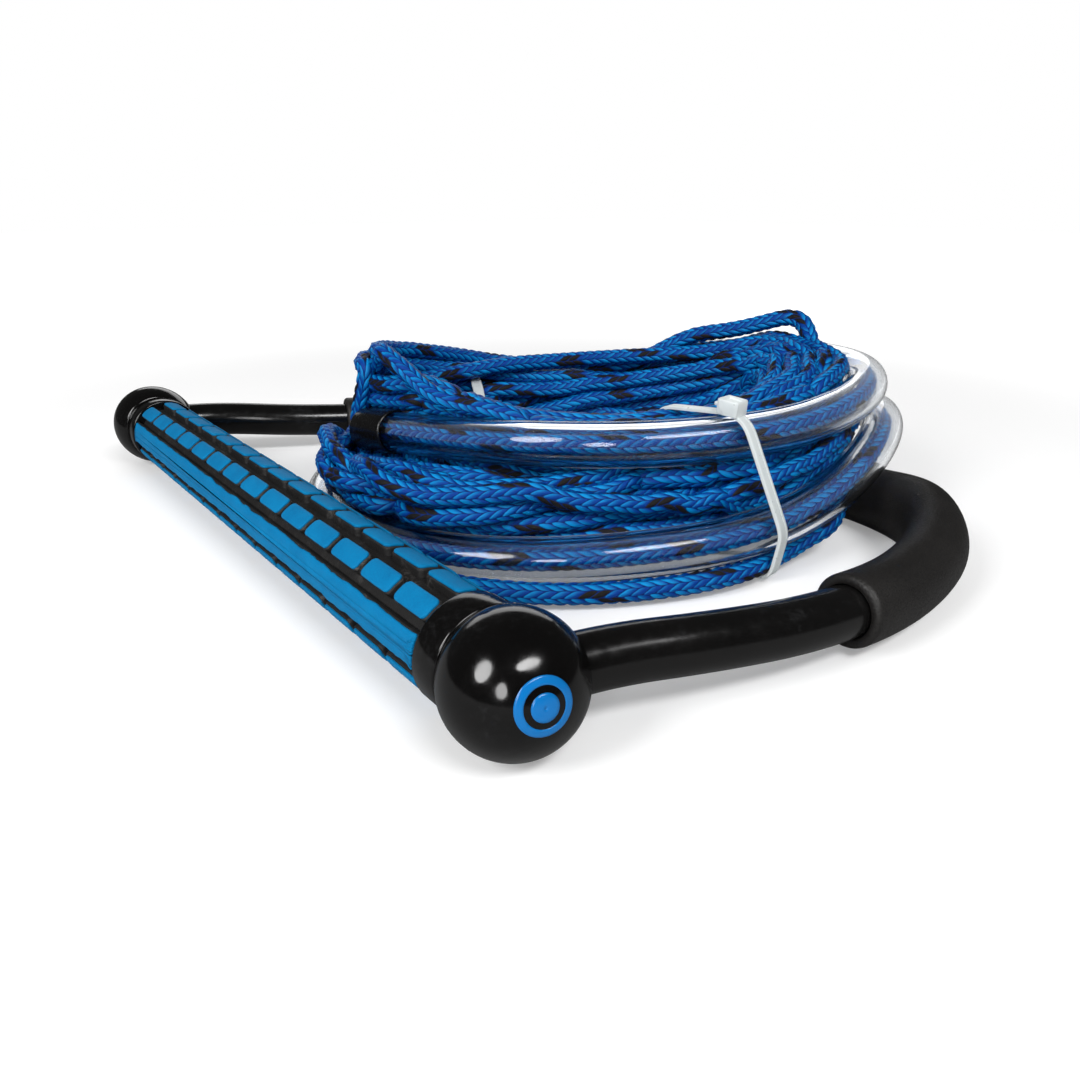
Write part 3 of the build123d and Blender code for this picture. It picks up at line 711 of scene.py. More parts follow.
# every turn starts near its own place in the stack and is pushed clear of the others
def layTurns():
    rng = np.random.default_rng(hank["seed"])
    turns, stations, apart = hank["turns"], hank["stations"], hank["spacing"]
    columns = hank["columns"]
    rows = math.ceil(turns / columns)
    cells = [(row, column) for row in range(rows - 1, -1, -1) for column in (3, 2)]
    cells += [(row, column) for row in range(rows) for column in (1, 0)]    # down outside, up inside
    rowOf = np.array([c[0] for c in cells])
    columnOf = np.array([c[1] for c in cells])
    halfWide = hank["band"] / 2 - apart / 2
    owner = np.clip((np.arange(turns * stations) - hank["change"]) // stations, 0, turns - 1)
    rowOf, columnOf = rowOf[owner].reshape(turns, stations), columnOf[owner].reshape(turns, stations)
    u = ((columnOf + 0.5 + 0.25 * (rowOf % 2)) / (columns + 0.3) * 2 - 1) * halfWide
    z = (rowOf + 0.5) / rows * 2 - 1
    low, high = bottomAt + apart / 2, topAt - apart / 2
    z = (z + 1) / 2 * (high - low) + low

    def wander(size):
        total = turns * stations
        t = np.arange(total) / stations
        wave = np.zeros(total)
        for rate in (0.31, 0.53, 0.87, 1.0, 1.37, 2.0, 2.61, 3.0):
            wave += rng.normal() * np.sin(tau * rate * t + rng.uniform(0, tau)) / (0.7 + rate)
        return (wave / wave.std() * size).reshape(turns, stations)

    homeU = u + wander(hank["wander"][0])
    homeZ = z + wander(hank["wander"][1])
    runs = [[c for c in crossings(trunkLine, m) if c[1] > 30 and c[0] < 5] for m in range(stations)]
    level = np.array([run[0][1] if run else 1e3 for run in runs])
    edge = np.array([run[0][0] if run else 0.0 for run in runs])
    behind = rowOf >= hank["behindRow"]
    homeU = np.where(behind & (level < 99), edge - 16 - 6 * (3 - columnOf), homeU)
    lowered = low + (rowOf + 0.5) / hank["behindRow"] * (level - 13 - low)
    homeZ = np.where((level < 99) & ~behind, lowered, homeZ)
    u, z = homeU.copy(), homeZ.copy()
    middle, half = (low + high) / 2, (high - low) / 2
    tubes = [crossings(trunkLine, m) for m in range(stations)]
    most = max(len(t) for t in tubes)
    tubeU = np.full((most, stations), 1e4)
    tubeZ = np.full((most, stations), 1e4)
    for m, found in enumerate(tubes):
        for n, (a, b) in enumerate(found):
            tubeU[n, m], tubeZ[n, m] = a, b
    tubeGap = trunk["capRadius"] + braid["lineWidth"] / 2 + 0.1
    inner = halfWide + ringTable(hank["inner"], stationDegrees)
    outward = ringTable(hank["outward"], stationDegrees)
    beneath, under = hank["beneath"], ringTable(hank["under"], stationDegrees)
    outer = [max(t) if t else (0.0, 0.0) for t in tubes]
    lift = np.array([t[1] for t in outer]) - low
    reachOut = np.sqrt(np.clip((trunk["outer"] + braid["lineWidth"] / 2 + 0.1) ** 2 - lift ** 2, 0, None))
    underU = np.array([t[0] for t in outer]) + reachOut
    ahead = np.array(hank["ahead"]) / np.linalg.norm(hank["ahead"])
    sideways = np.cross(ahead, (0, 0, 1.0))
    sideways /= np.linalg.norm(sideways)
    upright = np.cross(sideways, ahead)

    def seenAt(points):
        away = points - np.array(hank["front"])
        deep = away @ ahead
        return np.stack([away @ sideways / deep, away @ upright / deep], axis=-1), deep

    late = np.arange(len(trunkLine)) > len(trunkLine) * hank["shownFrom"]
    shown = trunkLine[np.nonzero((trunkLine[:, 2] > 30) & (trunkLine[:, 1] < 16) & late)[0]][::2]
    shownAt, shownDeep = seenAt(shown)

    def clearSight():
        # strands nearer than the upper run of the tube move down out of the way, or in behind it
        flat = stationMid[None] + u[:, :, None] * stationOut[None]
        points = np.concatenate([flat, z[:, :, None]], axis=2)
        at, deep = seenAt(points.reshape(-1, 3))
        apartSeen = np.linalg.norm(at[:, None] - shownAt[None], axis=2)
        nearest = apartSeen.argmin(1)
        gap = (apartSeen[np.arange(len(at)), nearest] * deep).reshape(u.shape)
        before = (deep < shownDeep[nearest] + 4).reshape(u.shape)
        over = np.where(before, np.clip(hank["clear"] - gap, 0, None), 0)
        upper = behind | (z > shown[nearest, 2].reshape(u.shape) + 4)
        u[:] = np.where(upper, u - np.minimum(over, 2.5), u)
        z[:] = np.where(upper, z, z - np.minimum(over, 2.5))

    for number in range(hank["rounds"]):
        free = 1 - number / hank["rounds"]
        u += (homeU - u) * hank["homePull"] * free
        z += (homeZ - z) * hank["homePull"] * free
        z -= hank["sag"]
        if number < hank["rounds"] * hank["easeShare"]:
            for grid in (u, z):
                flat = grid.reshape(-1)
                flat[1:-1] += hank["ease"] * (0.5 * (flat[:-2] + flat[2:]) - flat[1:-1])
        for sweep in range(3):
            du = u[:, None, :] - u[None, :, :]
            dz = z[:, None, :] - z[None, :, :]
            gap = np.sqrt(du ** 2 + dz ** 2) + 1e-6
            need = np.clip(apart - gap, 0, None) * (gap < 1e3)
            np.einsum("iij->ij", need)[:] = 0
            u += hank["push"] * (need * du / gap).sum(1)
            z += hank["push"] * (need * dz / gap).sum(1)
            for n in range(most):
                du, dz = u - tubeU[n], z - tubeZ[n]
                gap = np.sqrt(du ** 2 + dz ** 2) + 1e-6
                need = np.clip(tubeGap - gap, 0, None)
                u += need * du / gap
                z += need * dz / gap
                level = np.abs(z - tubeZ[n])
                inside = tubeU[n] - np.sqrt(np.clip(tubeGap ** 2 - level ** 2, 0, None))
                kept = (level < tubeGap) & (tubeU[n] < 1e3) & (tubeU[n] > hank["tubeOutside"])
                u = np.where(kept, np.minimum(u, inside), u)
            wide = np.where(u < 0, inner, halfWide)
            fit = (np.abs(u / wide) ** 3 + np.abs((z - middle) / half) ** 3) ** (1 / 3)
            over = np.clip(fit, 1, None)
            u /= 1 + (over - 1) * 0.5
            z = middle + (z - middle) / (1 + (over - 1) * 0.5)
            z = np.maximum(z, low)
            u = np.where(behind, np.maximum(u, outward), u)
            if sweep == 2:
                clearSight()
                u[beneath] += (underU - u[beneath]) * under
                z[beneath] += (low - z[beneath]) * under
    z = np.maximum(z, low)
    return u, z


turnU, turnZ = layTurns()
stationsXY = stationMid[None] + turnU[:, :, None] * stationOut[None]
hankPoints = np.concatenate([stationsXY, turnZ[:, :, None]], axis=2).reshape(-1, 3)
print("hank laid", len(hankPoints))

# main line: one rope from its splice on the bridle, through the clear tube, into the hank and its loop
mainLine = {
    "lead": [(50.0, 27.0, 35.0)],
    "skip": 3, "leaveAt": 24,
    "eye": [(200, -20, 63), (210, -37, 66), (218, -50, 70.5), (223, -58, 73.5), (224.5, -65, 72),
            (221, -72, 65), (216, -79, 58), (210, -87, 52), (202, -95, 48)],
}
stations = hank["stations"]
turnsPart = hankPoints[mainLine["skip"]:(hank["turns"] - 1) * stations + mainLine["leaveAt"]]
lineControls = [*trunk["route"], *mainLine["lead"], *[tuple(p) for p in turnsPart], *mainLine["eye"]]
lineRoute, lineAt = resample(routeLine("mainLineRoute", lineControls, 3), braid["step"])
mainRope = braidMesh("mainLine", lineRoute, braid["lineWidth"], lineRope)
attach(mainRope, "bridle")
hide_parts("trunk_rope", "lead_rope", "main_line", "tow_loop")

bridleControls = [*[(0, y, barZ) for y in (0.5, -60, -120, -137)], (1.5, -146, barZ), (10, -148.8, 18.4),
                  *loop,
                  (10, 146.6, 18.4), (1.5, 146, barZ), *[(0, y, barZ) for y in (137, 120, 60, 1.5)]]
bridleLine, _ = resample(routeLine("bridleRoute", bridleControls, 8), 1.6)
bridleRope = braidMesh("bridleRope", bridleLine, 7.0, lineRope)
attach(bridleRope, "bridle")
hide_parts("bridle_rope")

# clear tube and its caps
start = np.searchsorted(trunkAt, trunk["lead"])
tubeLine = trunkLine[start:]
clearTube = pipeMesh("clearTube", tubeLine, trunk["outer"], trunk["inner"], clearVinyl, rounding=0.6,
                     around=56)
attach(clearTube, "bridle")
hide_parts("trunk_tube")


def tubeCap(name, end, inward, length, node):
    r, t = trunk["capRadius"], trunk["outer"]
    profile = [(-1.5, 3.6), (-1.5, r - 1.2), (-1.35, r - 0.6), (-1.0, r - 0.2), (-0.4, r),
               (length * 0.3, r), (length - 2.6, r), (length - 2.1, r - 0.05), (length - 1.75, r - 0.2),
               (length - 1.55, r - 0.45), (length - 1.5, t + 0.12), (0.1, t + 0.12), (0.1, 3.6)]
    cap = lathed(name, profile, capRubber, end, inward, 72)
    sharpen(cap, 40)
    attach(cap, "bridle")
    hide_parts(node)
    return cap


outerCap = tubeCap("tubeCapOuter", tubeLine[-1], tubeLine[-4] - tubeLine[-1], trunk["capLength"],
                   "trunk_cap_outer")
innerCap = tubeCap("tubeCapInner", tubeLine[0], tubeLine[2] - tubeLine[0], trunk["innerCap"],
                   "trunk_cap_inner")

# sleeves and float
for side, line in (("near", nearSleeveLine), ("far", farSleeveLine)):
    piece = pipeMesh("bridleSleeve" + side.capitalize(), line, bridle["sleeveOuter"], bridle["sleeveInner"],
                     sleeveVinyl, rounding=0.8, around=64)
    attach(piece, "bridle")
    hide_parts("sleeve_" + side)

floatShape = {"kink": (186.5, -151.5), "reach": 27.0, "tall": 0.22, "narrow": 0.10, "rounding": 1.6}
kinkAt = floatAt[np.argmin(np.linalg.norm(floatLine[:, :2] - np.array(floatShape["kink"]), axis=1))]


def kinkShare(k):
    return math.exp(-((floatAt[k] - kinkAt) / floatShape["reach"]) ** 2)


def floatStretch(k):
    share = kinkShare(k)
    return 1 - floatShape["narrow"] * share, 1 + floatShape["tall"] * share


foamFloat = pipeMesh("foamFloat", floatLine, bridle["floatOuter"], bridle["floatInner"], floatFoam,
                     rounding=floatShape["rounding"], around=80, stretch=floatStretch,
                     lift=lambda k: floatShape["tall"] * bridle["floatOuter"] * kinkShare(k))
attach(foamFloat, "bridle")
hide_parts("float")

# three slanted strokes printed on the outside of the bend
strokes = {"at": (200.0, -126.0), "apart": 8.0, "wide": 2.4, "lean": 6.0, "low": 62.0, "high": 112.0}


def floatSurface(reach, degrees, grown):
    k = reach / floatAt[-1] * (len(floatLine) - 1)
    low = int(math.floor(k))
    found = []
    for index in (low, low + 1):
        ahead = floatLine[index + 1] - floatLine[index - 1]
        ahead /= np.linalg.norm(ahead)
        flat = np.cross(ahead, (0, 0, 1.0))
        flat /= np.linalg.norm(flat)
        wide, high = floatStretch(index)
        rise = floatShape["tall"] * bridle["floatOuter"] * kinkShare(index)
        a = math.radians(degrees)
        found.append(floatLine[index] + np.array([0, 0, rise]) + (bridle["floatOuter"] + grown)
                     * (math.cos(a) * np.cross(flat, ahead) * high + math.sin(a) * flat * wide))
    return found[0] + (found[1] - found[0]) * (k - low)


strokeMiddle = floatAt[np.argmin(np.linalg.norm(floatLine[:, :2] - np.array(strokes["at"]), axis=1))]
verts, faces = [], []
for number in (-1, 0, 1):
    for row in range(13):
        share = row / 12
        degrees = strokes["low"] + (strokes["high"] - strokes["low"]) * share
        reach = strokeMiddle + number * strokes["apart"] + strokes["lean"] * (share - 0.5)
        for side in (-0.5, 0.5):
            verts.append(floatSurface(reach + side * strokes["wide"], degrees, 0.07))
    base = (number + 1) * 26
    faces += [(base + 2 * r, base + 2 * r + 1, base + 2 * r + 3, base + 2 * r + 2) for r in range(12)]
floatStrokes = addMesh("floatStrokes", toFrame(np.array(verts)), faces, badgeBlue)
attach(floatStrokes, "bridle")
print("sleeves and float done")

# balls, collars and badges
ball = {"radius": 18.5, "flat": 10.2, "badgeTurn": -14.0, "badgeRise": 13.0, "dot": 3.4, "ring": (5.0, 7.0)}
collarShape = {"radius": 15.4, "outerEnd": 136.8, "innerEnd": 126.8}


def endBall(name, side, node, badgeNode):
    r, flat = ball["radius"], ball["flat"]
    rim = math.sqrt(r * r - flat * flat)
    profile = [(-flat, 12.6), (-flat, rim - 0.9), (-flat + 0.06, rim - 0.5), (-flat + 0.2, rim - 0.16)]
    startTurn = math.asin((-flat + 0.42) / r)
    steps = 64
    for k in range(steps + 1):
        turn = startTurn + (math.pi / 2 - startTurn) * k / steps
        profile.append((r * math.sin(turn), max(0.002, r * math.cos(turn))))
    centre = np.array([0, side * bridle["ballY"], barZ])
    piece = lathed(name, profile, glossBlack, centre, (0, side, 0), 128, closed=False)
    sharpen(piece, 50)
    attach(piece, "bridle")
    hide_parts(node)
    # plain round mark: a ring and a dot, laid on the ball
    turned, risen = math.radians(ball["badgeTurn"]), math.radians(ball["badgeRise"])
    axis = np.array([math.sin(turned) * math.cos(risen), side * math.cos(turned) * math.cos(risen),
                     math.sin(risen)])
    first = np.cross(axis, (0, 0, 1.0))
    first /= np.linalg.norm(first)
    second = np.cross(first, axis)
    verts, faces = [], []

    def disc(inner, outer, lift=0.06, around=72):
        base = len(verts)
        levels = [0.0] + [lift] * 5 + [0.0]
        radii = [inner, *np.linspace(inner, outer, 5), outer]
        for level, radius in zip(levels, radii):
            for j in range(around):
                a = tau * j / around
                reach = r + level
                out = math.sqrt(reach * reach - radius * radius)
                verts.append(centre + axis * out + radius * (math.cos(a) * first + math.sin(a) * second))
        for ringNumber in range(len(radii) - 1):
            for j in range(around):
                k = (j + 1) % around
                a, b = base + ringNumber * around, base + (ringNumber + 1) * around
                faces.append((a + j, a + k, b + k, b + j))

    disc(0.02, ball["dot"])
    disc(*ball["ring"])
    mark = addMesh(name + "Mark", toFrame(np.array(verts)), faces, badgeBlue)
    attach(mark, "bridle")
    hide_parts(badgeNode)


endBall("ballNear", -1, "ball_near", "ball_badge_near")
endBall("ballFar", 1, "ball_far", "ball_badge_far")


def endCollar(name, side, node):
    r, a, b = collarShape["radius"], collarShape["innerEnd"], collarShape["outerEnd"]
    profile = [(a, 9.7), (a, r - 0.8), (a + 0.08, r - 0.42), (a + 0.3, r - 0.14), (a + 0.7, r), (a + 4, r),
               (b - 0.7, r), (b - 0.3, r - 0.12), (b - 0.08, r - 0.36), (b, r - 0.7), (b, 12.9),
               (a + 1.7, 12.9), (a + 1.7, 9.7)]
    piece = lathed(name, profile, glossBlack, (0, 0, barZ), (0, side, 0), 128)
    sharpen(piece, 40)
    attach(piece, "bar")
    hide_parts(node)


endCollar("collarNear", -1, "collar_near")
endCollar("collarFar", 1, "collar_far")
print("balls and collars done")

# grip: rubber blocks with suede caps, two long palm strips, grooves between
grip = {
    "half": 126.7, "core": 11.55, "bore": 9.75, "top": 15.0, "count": 14, "gap": 2.1, "width": 7.5,
    "rows": [-13.0, 32.0, 122.0, 167.0, 212.0, 302.0],      # degrees round the bar from the top
    "palms": [77.0, 257.0], "palmWidth": 9.9, "seed": 5,
}
gripRng = np.random.default_rng(grip["seed"])


def roundedOutline(width, length, corner, perCorner=6, perSide=5):
    points = []
    corner = min(corner, width / 2 - 0.01, length / 2 - 0.01)
    x, y = width / 2 - corner, length / 2 - corner
    centres = [(x, y, 0), (-x, y, 90), (-x, -y, 180), (x, -y, 270)]
    for number, (cx, cy, startDegrees) in enumerate(centres):
        for k in range(perCorner + 1):
            a = math.radians(startDegrees + 90 * k / perCorner)
            points.append((cx + corner * math.cos(a), cy + corner * math.sin(a)))
        nx, ny, nd = centres[(number + 1) % 4]
        a = math.radians(nd)
        nextPoint = (nx + corner * math.cos(a), ny + corner * math.sin(a))
        turned = math.radians(startDegrees + 90)
        for k in range(1, perSide + 1):
            share = k / (perSide + 1)
            points.append(((1 - share) * (cx + corner * math.cos(turned)) + share * nextPoint[0],
                           (1 - share) * (cy + corner * math.sin(turned)) + share * nextPoint[1]))
    return np.array(points)


# a flat outline bent round the grip at an angle from the top
def wrapped(flat, degrees, y):
    angle = math.radians(degrees) + flat[:, 0] / grip["top"]
    radius = flat[:, 2]
    return np.stack([-radius * np.sin(angle), y + flat[:, 1], barZ + radius * np.cos(angle)], axis=1)


# rounded plates, each built up in levels of (inset, radius)
def plateMesh(name, plates, levels, material, corner, wobble=0.0, perSide=5):
    verts, faces, base = [], [], 0
    for degrees, y, width, length in plates:
        ragged = None
        for inset, height in levels:
            rounded = max(corner - inset, 0.3)
            outline = roundedOutline(width - 2 * inset, length - 2 * inset, rounded, 6, perSide)
            if ragged is None:
                ragged = gripRng.normal(0, 1, len(outline))
                ragged = (ragged + np.roll(ragged, 1) + np.roll(ragged, -1)) / 3
            flat = np.column_stack([outline, np.full(len(outline), height)])
            flat[:, 0] += ragged * wobble * np.sign(flat[:, 0] + 1e-9)
            flat[:, 2] += ragged * wobble * 0.12
            verts.append(wrapped(flat, degrees, y))
        n = len(outline)
        for level in range(len(levels) - 1):
            a, b = base + level * n, base + (level + 1) * n
            faces += [(a + j, a + (j + 1) % n, b + (j + 1) % n, b + j) for j in range(n)]
        last = base + (len(levels) - 1) * n
        faces.append(tuple(last + j for j in range(n)))
        faces.append(tuple(base + j for j in range(n - 1, -1, -1)))
        base += len(levels) * n
    return addMesh(name, toFrame(np.concatenate(verts)), faces, material)


pitch = 2 * grip["half"] / grip["count"]
centres = [-grip["half"] + pitch * (k + 0.5) for k in range(grip["count"])]
blockLevels = [(-0.25, 11.3), (-0.1, 11.8), (0.0, 12.6), (0.0, 13.7), (0.12, 14.1), (0.4, 14.28),
               (0.9, 14.3)]
railLevels = [(-0.2, 11.3), (0.0, 12.0), (0.0, 13.8), (0.15, 14.2), (0.5, 14.3)]
capLevels = [(0.45, 14.0), (0.42, 14.55), (0.5, 14.78), (0.72, 14.94), (1.1, 15.03), (1.9, 15.08),
             (2.9, 15.1)]
blocks = [(d, y, grip["width"], pitch - grip["gap"]) for d in grip["rows"] for y in centres]
gripBlocks = plateMesh("gripBlocks", blocks, blockLevels, gripRubber, 1.7)
palmBlocks = [(d, 0.0, grip["palmWidth"], 2 * grip["half"]) for d in grip["palms"]]
palmRails = plateMesh("palmRails", palmBlocks, railLevels, gripRubber, 0.6, 0.03, 120)
end, bore, around = grip["half"], grip["bore"], grip["core"]
coreProfile = [(-end, bore), (-end, around - 0.3), (-end + 0.3, around),
               *[(y, around) for y in np.linspace(-end + 2, end - 2, 120)],
               (end - 0.3, around), (end, around - 0.3), (end, bore)]
core = lathed("gripCore", coreProfile, gripRubber, (0, 0, barZ), (0, 1, 0), 96)
for piece in (gripBlocks, palmRails, core):
    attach(piece, "bar")
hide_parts("grip_sleeve")
for number, degrees in enumerate(grip["rows"], 1):
    row = [(degrees, y, grip["width"], pitch - grip["gap"]) for y in centres]
    caps = plateMesh(f"suedeCaps{number}", row, capLevels, blueSuede, 2.1, 0.03)
    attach(caps, "bar")
    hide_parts(f"pad_row_{number}")
for number, degrees in enumerate(grip["palms"], 1):
    plate = [(degrees, 0.0, grip["palmWidth"], 2 * grip["half"] - 0.6)]
    strip = plateMesh(f"suedeStrip{number}", plate, capLevels, blueSuede, 0.8, 0.34, 150)
    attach(strip, "bar")
    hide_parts(f"palm_strip_{number}")
print("grip done")

# nylon ties, pulled close round whatever lies in their plane
tie = {"width": 4.6, "thick": 1.3, "slack": 0.25, "head": (8.2, 7.2, 5.6)}
ties = {
    # through and towards set the plane, head where the lock faces, below how high the held strands reach
    "tieRight": {"through": (121.0, -101.5), "towards": 94.0, "head": (-0.12, 1.0), "tail": 3.0,
                 "reach": 42.0, "below": 99.0, "node": "tie_right"},
    "tieLeft": {"through": (115.4, 36.1), "towards": 62.3, "head": (1.0, -0.25), "tail": 3.0,
                "reach": 38.0, "below": 46.0, "node": "tie_left"},
}


def cuts(line, through, direction, reach):
    along = np.array([math.cos(direction), math.sin(direction)])
    normal = np.array([-along[1], along[0]])
    away = line[:, :2] - np.array(through)
    s, w = away @ normal, away @ along
    found = []
    for k in np.nonzero(s[:-1] * s[1:] <= 0)[0]:
        share = s[k] / (s[k] - s[k + 1] + 1e-9)
        at = w[k] + (w[k + 1] - w[k]) * share
        if abs(at) < reach:
            straight = abs((line[k + 1, :2] - line[k, :2]) @ normal) + 1e-6
            lean = np.linalg.norm(line[k + 1] - line[k]) / straight
            found.append((at, line[k, 2] + (line[k + 1, 2] - line[k, 2]) * share, min(lean, 1.4)))
    return found


def hull(points):
    points = sorted(map(tuple, points))

    def half(seq):
        out = []
        for p in seq:
            while len(out) > 1 and ((out[-1][0] - out[-2][0]) * (p[1] - out[-2][1])
                                    - (out[-1][1] - out[-2][1]) * (p[0] - out[-2][0])) <= 0:
                out.pop()
            out.append(p)
        return out[:-1]

    return np.array(half(points) + half(points[::-1]))


def nylonTie(name, facts):
    direction = math.radians(facts["towards"])
    along = np.array([math.cos(direction), math.sin(direction), 0.0])
    normal = np.array([-along[1], along[0], 0.0])
    rim = []
    a = np.linspace(0, tau, 40, endpoint=False)
    for line, radius in ((lineRoute, braid["lineWidth"] / 2), (trunkLine, trunk["outer"])):
        for w, z, lean in cuts(line, facts["through"], direction, facts["reach"]):
            if z > facts["below"]:
                continue
            grown = radius + tie["slack"]
            rim += [(w + grown * lean * math.cos(t), z + grown * math.sin(t)) for t in a]
    band = hull(rim)
    band[:, 1] = np.maximum(band[:, 1], tie["thick"] + 0.2)
    closed, _ = resample(np.column_stack([np.vstack([band, band[:1]]), np.zeros(len(band) + 1)]), 1.5)
    ring = closed[:-1, :2]
    for _ in range(2):
        ring = 0.5 * ring + 0.25 * (np.roll(ring, 1, 0) + np.roll(ring, -1, 0))
    tangent = np.roll(ring, -1, 0) - np.roll(ring, 1, 0)
    tangent /= np.linalg.norm(tangent, axis=1)[:, None]
    outward = np.column_stack([tangent[:, 1], -tangent[:, 0]])
    half, thick = tie["width"] / 2, tie["thick"]
    section = [(-half, 0.15), (-half, thick - 0.3), (-half + 0.12, thick - 0.08), (-half + 0.35, thick),
               (-half + 1.0, thick), (-half + 1.15, thick - 0.18),
               (half - 1.15, thick - 0.18), (half - 1.0, thick),
               (half - 0.35, thick), (half - 0.12, thick - 0.08), (half, thick - 0.3), (half, 0.15),
               (half - 0.2, 0.0), (-half + 0.2, 0.0)]
    origin = np.array([*facts["through"], 0.0])
    rings = []
    for p, o in zip(ring, outward):
        for s, h in section:
            q = p + o * h
            rings.append(origin + along * q[0] + np.array([0, 0, q[1]]) + normal * s)
    n, m = len(ring), len(section)
    faces = []
    for i in range(n):
        k = (i + 1) % n
        faces += [(i * m + j, i * m + (j + 1) % m, k * m + (j + 1) % m, k * m + j) for j in range(m)]
    verts = list(toFrame(np.array(rings)))
    # lock and cut tail
    goal = np.array(facts["head"]) / np.linalg.norm(facts["head"])
    spot = int(np.argmax(outward @ goal))
    p, o, t = ring[spot], outward[spot], tangent[spot]
    long, wide, high = tie["head"]

    def solidBlock(middle, sizes, bevel, rows):
        base = len(verts)
        for cz, cut in rows:
            outline = roundedOutline(sizes[0] - 2 * cut, sizes[1] - 2 * cut, max(bevel - cut, 0.15), 4, 1)
            for x, y in outline:
                q = middle + t * x + o * cz
                verts.append(toFrame(origin + along * q[0] + np.array([0, 0, q[1]]) + normal * y))
            count = len(outline)
        for level in range(len(rows) - 1):
            a, b = base + level * count, base + (level + 1) * count
            faces.extend([(a + j, a + (j + 1) % count, b + (j + 1) % count, b + j) for j in range(count)])
        faces.append(tuple(base + (len(rows) - 1) * count + j for j in range(count)))
        faces.append(tuple(base + j for j in range(count - 1, -1, -1)))

    solidBlock(p, (long, wide), 1.1,
               [(0.1, 0.5), (0.3, 0.1), (0.6, 0.0), (high - 0.8, 0.0), (high - 0.25, 0.15), (high, 0.55),
                (high - 0.5, 1.4), (high - 0.9, 1.6)])
    tailStart = p + o * (high * 0.45)
    solidBlock(tailStart + t * (-(long / 2 + facts["tail"] / 2 - 1)) + o * 0.4, (facts["tail"], 3.6), 0.4,
               [(-0.55, 0.15), (-0.4, 0.0), (0.4, 0.0), (0.55, 0.15)])
    piece = addMesh(name, np.array(verts), faces, whiteNylon)
    sharpen(piece, 45)
    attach(piece, "bridle")
    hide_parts(facts["node"])


for name, facts in ties.items():
    nylonTie(name, facts)
print("ties done")

# pieces kept from the frame
kept = {
    "float_outlet": capRubber, "bar_tube": barMetal, "ball_core_near": guidePlastic,
    "ball_core_far": guidePlastic, "end_bush_near": bushPlastic, "end_bush_far": bushPlastic,
    "thrust_washer_near": bushPlastic, "thrust_washer_far": bushPlastic, "bridle_splice": capRubber,
    "trunk_splice": capRubber,
}
for node, finish in kept.items():
    dress(node, finish)

# stage
stage = {"floor": 3.2, "floorTone": 0.80, "floorInGloss": 0.22, "floorGlow": (0.22, 1.0),
         "glowFrom": (0.30, 0.85), "air": 0.34, "airInGloss": 0.05, "backdrop": 1.0}
lamps = {
    # name: place in mm from the bar's middle, size in mm, watts
    "lampLeft": ((-790, -110, 610), (400, 520), 6.5),
    "lampLow": ((-825, -750, 395), (300, 420), 3.0),
    "lampFront": ((10, -790, 880), (680, 260), 7.0),
    "lampBack": ((700, 900, 380), (1500, 420), 2.4),
}
floorMaterial, floorTree, floorShader = startMaterial("paleFloor", Roughness=0.9)
floorShader.inputs["Specular IOR Level"].default_value = 0.1
floorShader.inputs["Emission Color"].default_value = (1, 1, 1, 1)
floorPath = floorTree.nodes.new("ShaderNodeLightPath")
floorAway = floorTree.nodes.new("ShaderNodeVectorMath")
floorAway.operation = "LENGTH"
floorTree.links.new(floorTree.nodes.new("ShaderNodeTexCoord").outputs["Object"], floorAway.inputs[0])
floorGlow = mapRange(floorTree, floorAway.outputs["Value"], *stage["glowFrom"], *stage["floorGlow"], True)
floorSeen = mathNode(floorTree, "MAXIMUM", floorPath.outputs["Is Camera Ray"],
                     floorPath.outputs["Is Transmission Ray"])
floorGloss = mathNode(floorTree, "MULTIPLY", floorPath.outputs["Is Glossy Ray"],
                      mathNode(floorTree, "SUBTRACT", 1.0, floorPath.outputs["Is Transmission Ray"]))
floorTree.links.new(mathNode(floorTree, "MULTIPLY", floorSeen, floorGlow),
                    floorShader.inputs["Emission Strength"])
floorTone = mixColour(floorTree, floorGloss, (stage["floorTone"],) * 3,
                      (stage["floorInGloss"],) * 3)
floorTree.links.new(floorTone, floorShader.inputs["Base Color"])
half = stage["floor"] * 1000
floorCorners = toFrame([(-half, -half, 0), (half, -half, 0), (half, half, 0), (-half, half, 0)])
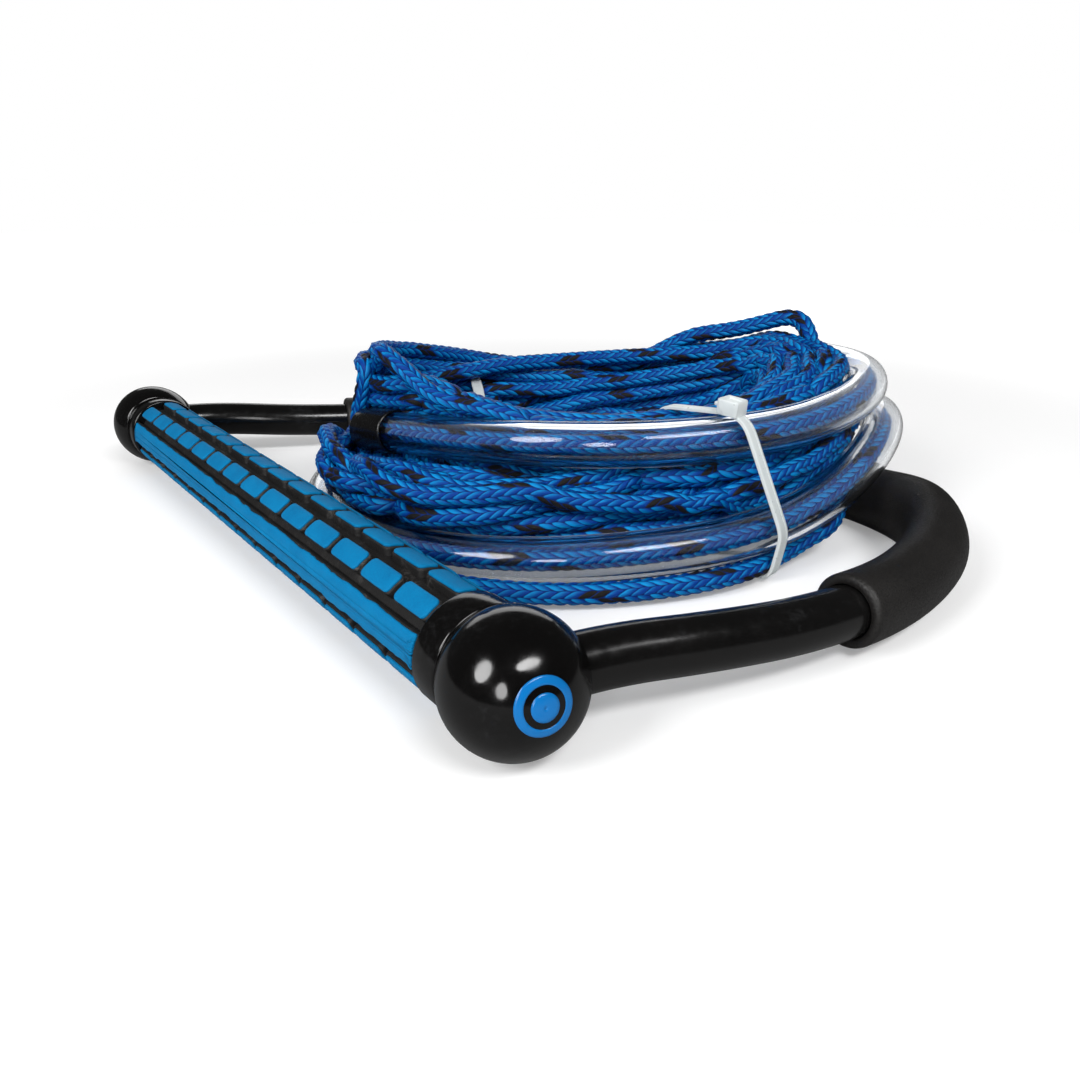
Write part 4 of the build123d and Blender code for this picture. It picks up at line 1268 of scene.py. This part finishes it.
floor = addMesh("floor", floorCorners, [(0, 1, 2, 3)], floorMaterial, False)
world = bpy.data.worlds.new("studioAir")
world.use_nodes = True
world.node_tree.nodes["Background"].inputs["Color"].default_value = (1, 1, 1, 1)
airPath = world.node_tree.nodes.new("ShaderNodeLightPath")
airSeen = mathNode(world.node_tree, "MAXIMUM", airPath.outputs["Is Camera Ray"],
                   airPath.outputs["Is Transmission Ray"])
airGloss = mathNode(world.node_tree, "MULTIPLY", airPath.outputs["Is Glossy Ray"],
                    mathNode(world.node_tree, "SUBTRACT", 1.0, airPath.outputs["Is Transmission Ray"]))
airStrength = mathNode(world.node_tree, "MULTIPLY_ADD", airSeen,
                       stage["backdrop"] - stage["air"], stage["air"])
airStrength = mathNode(world.node_tree, "SUBTRACT", airStrength,
                       mathNode(world.node_tree, "MULTIPLY", airGloss,
                                stage["air"] - stage["airInGloss"]))
world.node_tree.links.new(airStrength, world.node_tree.nodes["Background"].inputs["Strength"])
bpy.context.scene.world = world
aim = Vector(toFrame([90, -40, 20]))
for name, (where, size, watts) in lamps.items():
    lamp = bpy.data.lights.new(name, "AREA")
    lamp.shape = "ELLIPSE"
    lamp.size, lamp.size_y = size[0] / 1000, size[1] / 1000
    lamp.energy = watts
    holder = bpy.data.objects.new(name, lamp)
    holder.location = Vector(toFrame(where))
    holder.rotation_euler = (aim - holder.location).to_track_quat("-Z", "Y").to_euler()
    collection.objects.link(holder)

shot = {"at": (-94.8, -275.2, 123.3), "looking": (0.576, 0.715, -0.396), "focal": 26.667, "sensor": 36.0}
camera = bpy.data.cameras.new("camera")
camera.lens = shot["focal"]
camera.sensor_width = shot["sensor"]
camera.clip_start = 0.01
cameraHolder = bpy.data.objects.new("camera", camera)
cameraHolder.location = Vector(toFrame(shot["at"]))
cameraHolder.rotation_euler = Vector(shot["looking"]).to_track_quat("-Z", "Y").to_euler()
collection.objects.link(cameraHolder)
bpy.context.scene.camera = cameraHolder
bpy.context.scene.view_settings.view_transform = "Standard"

print("scene ready")
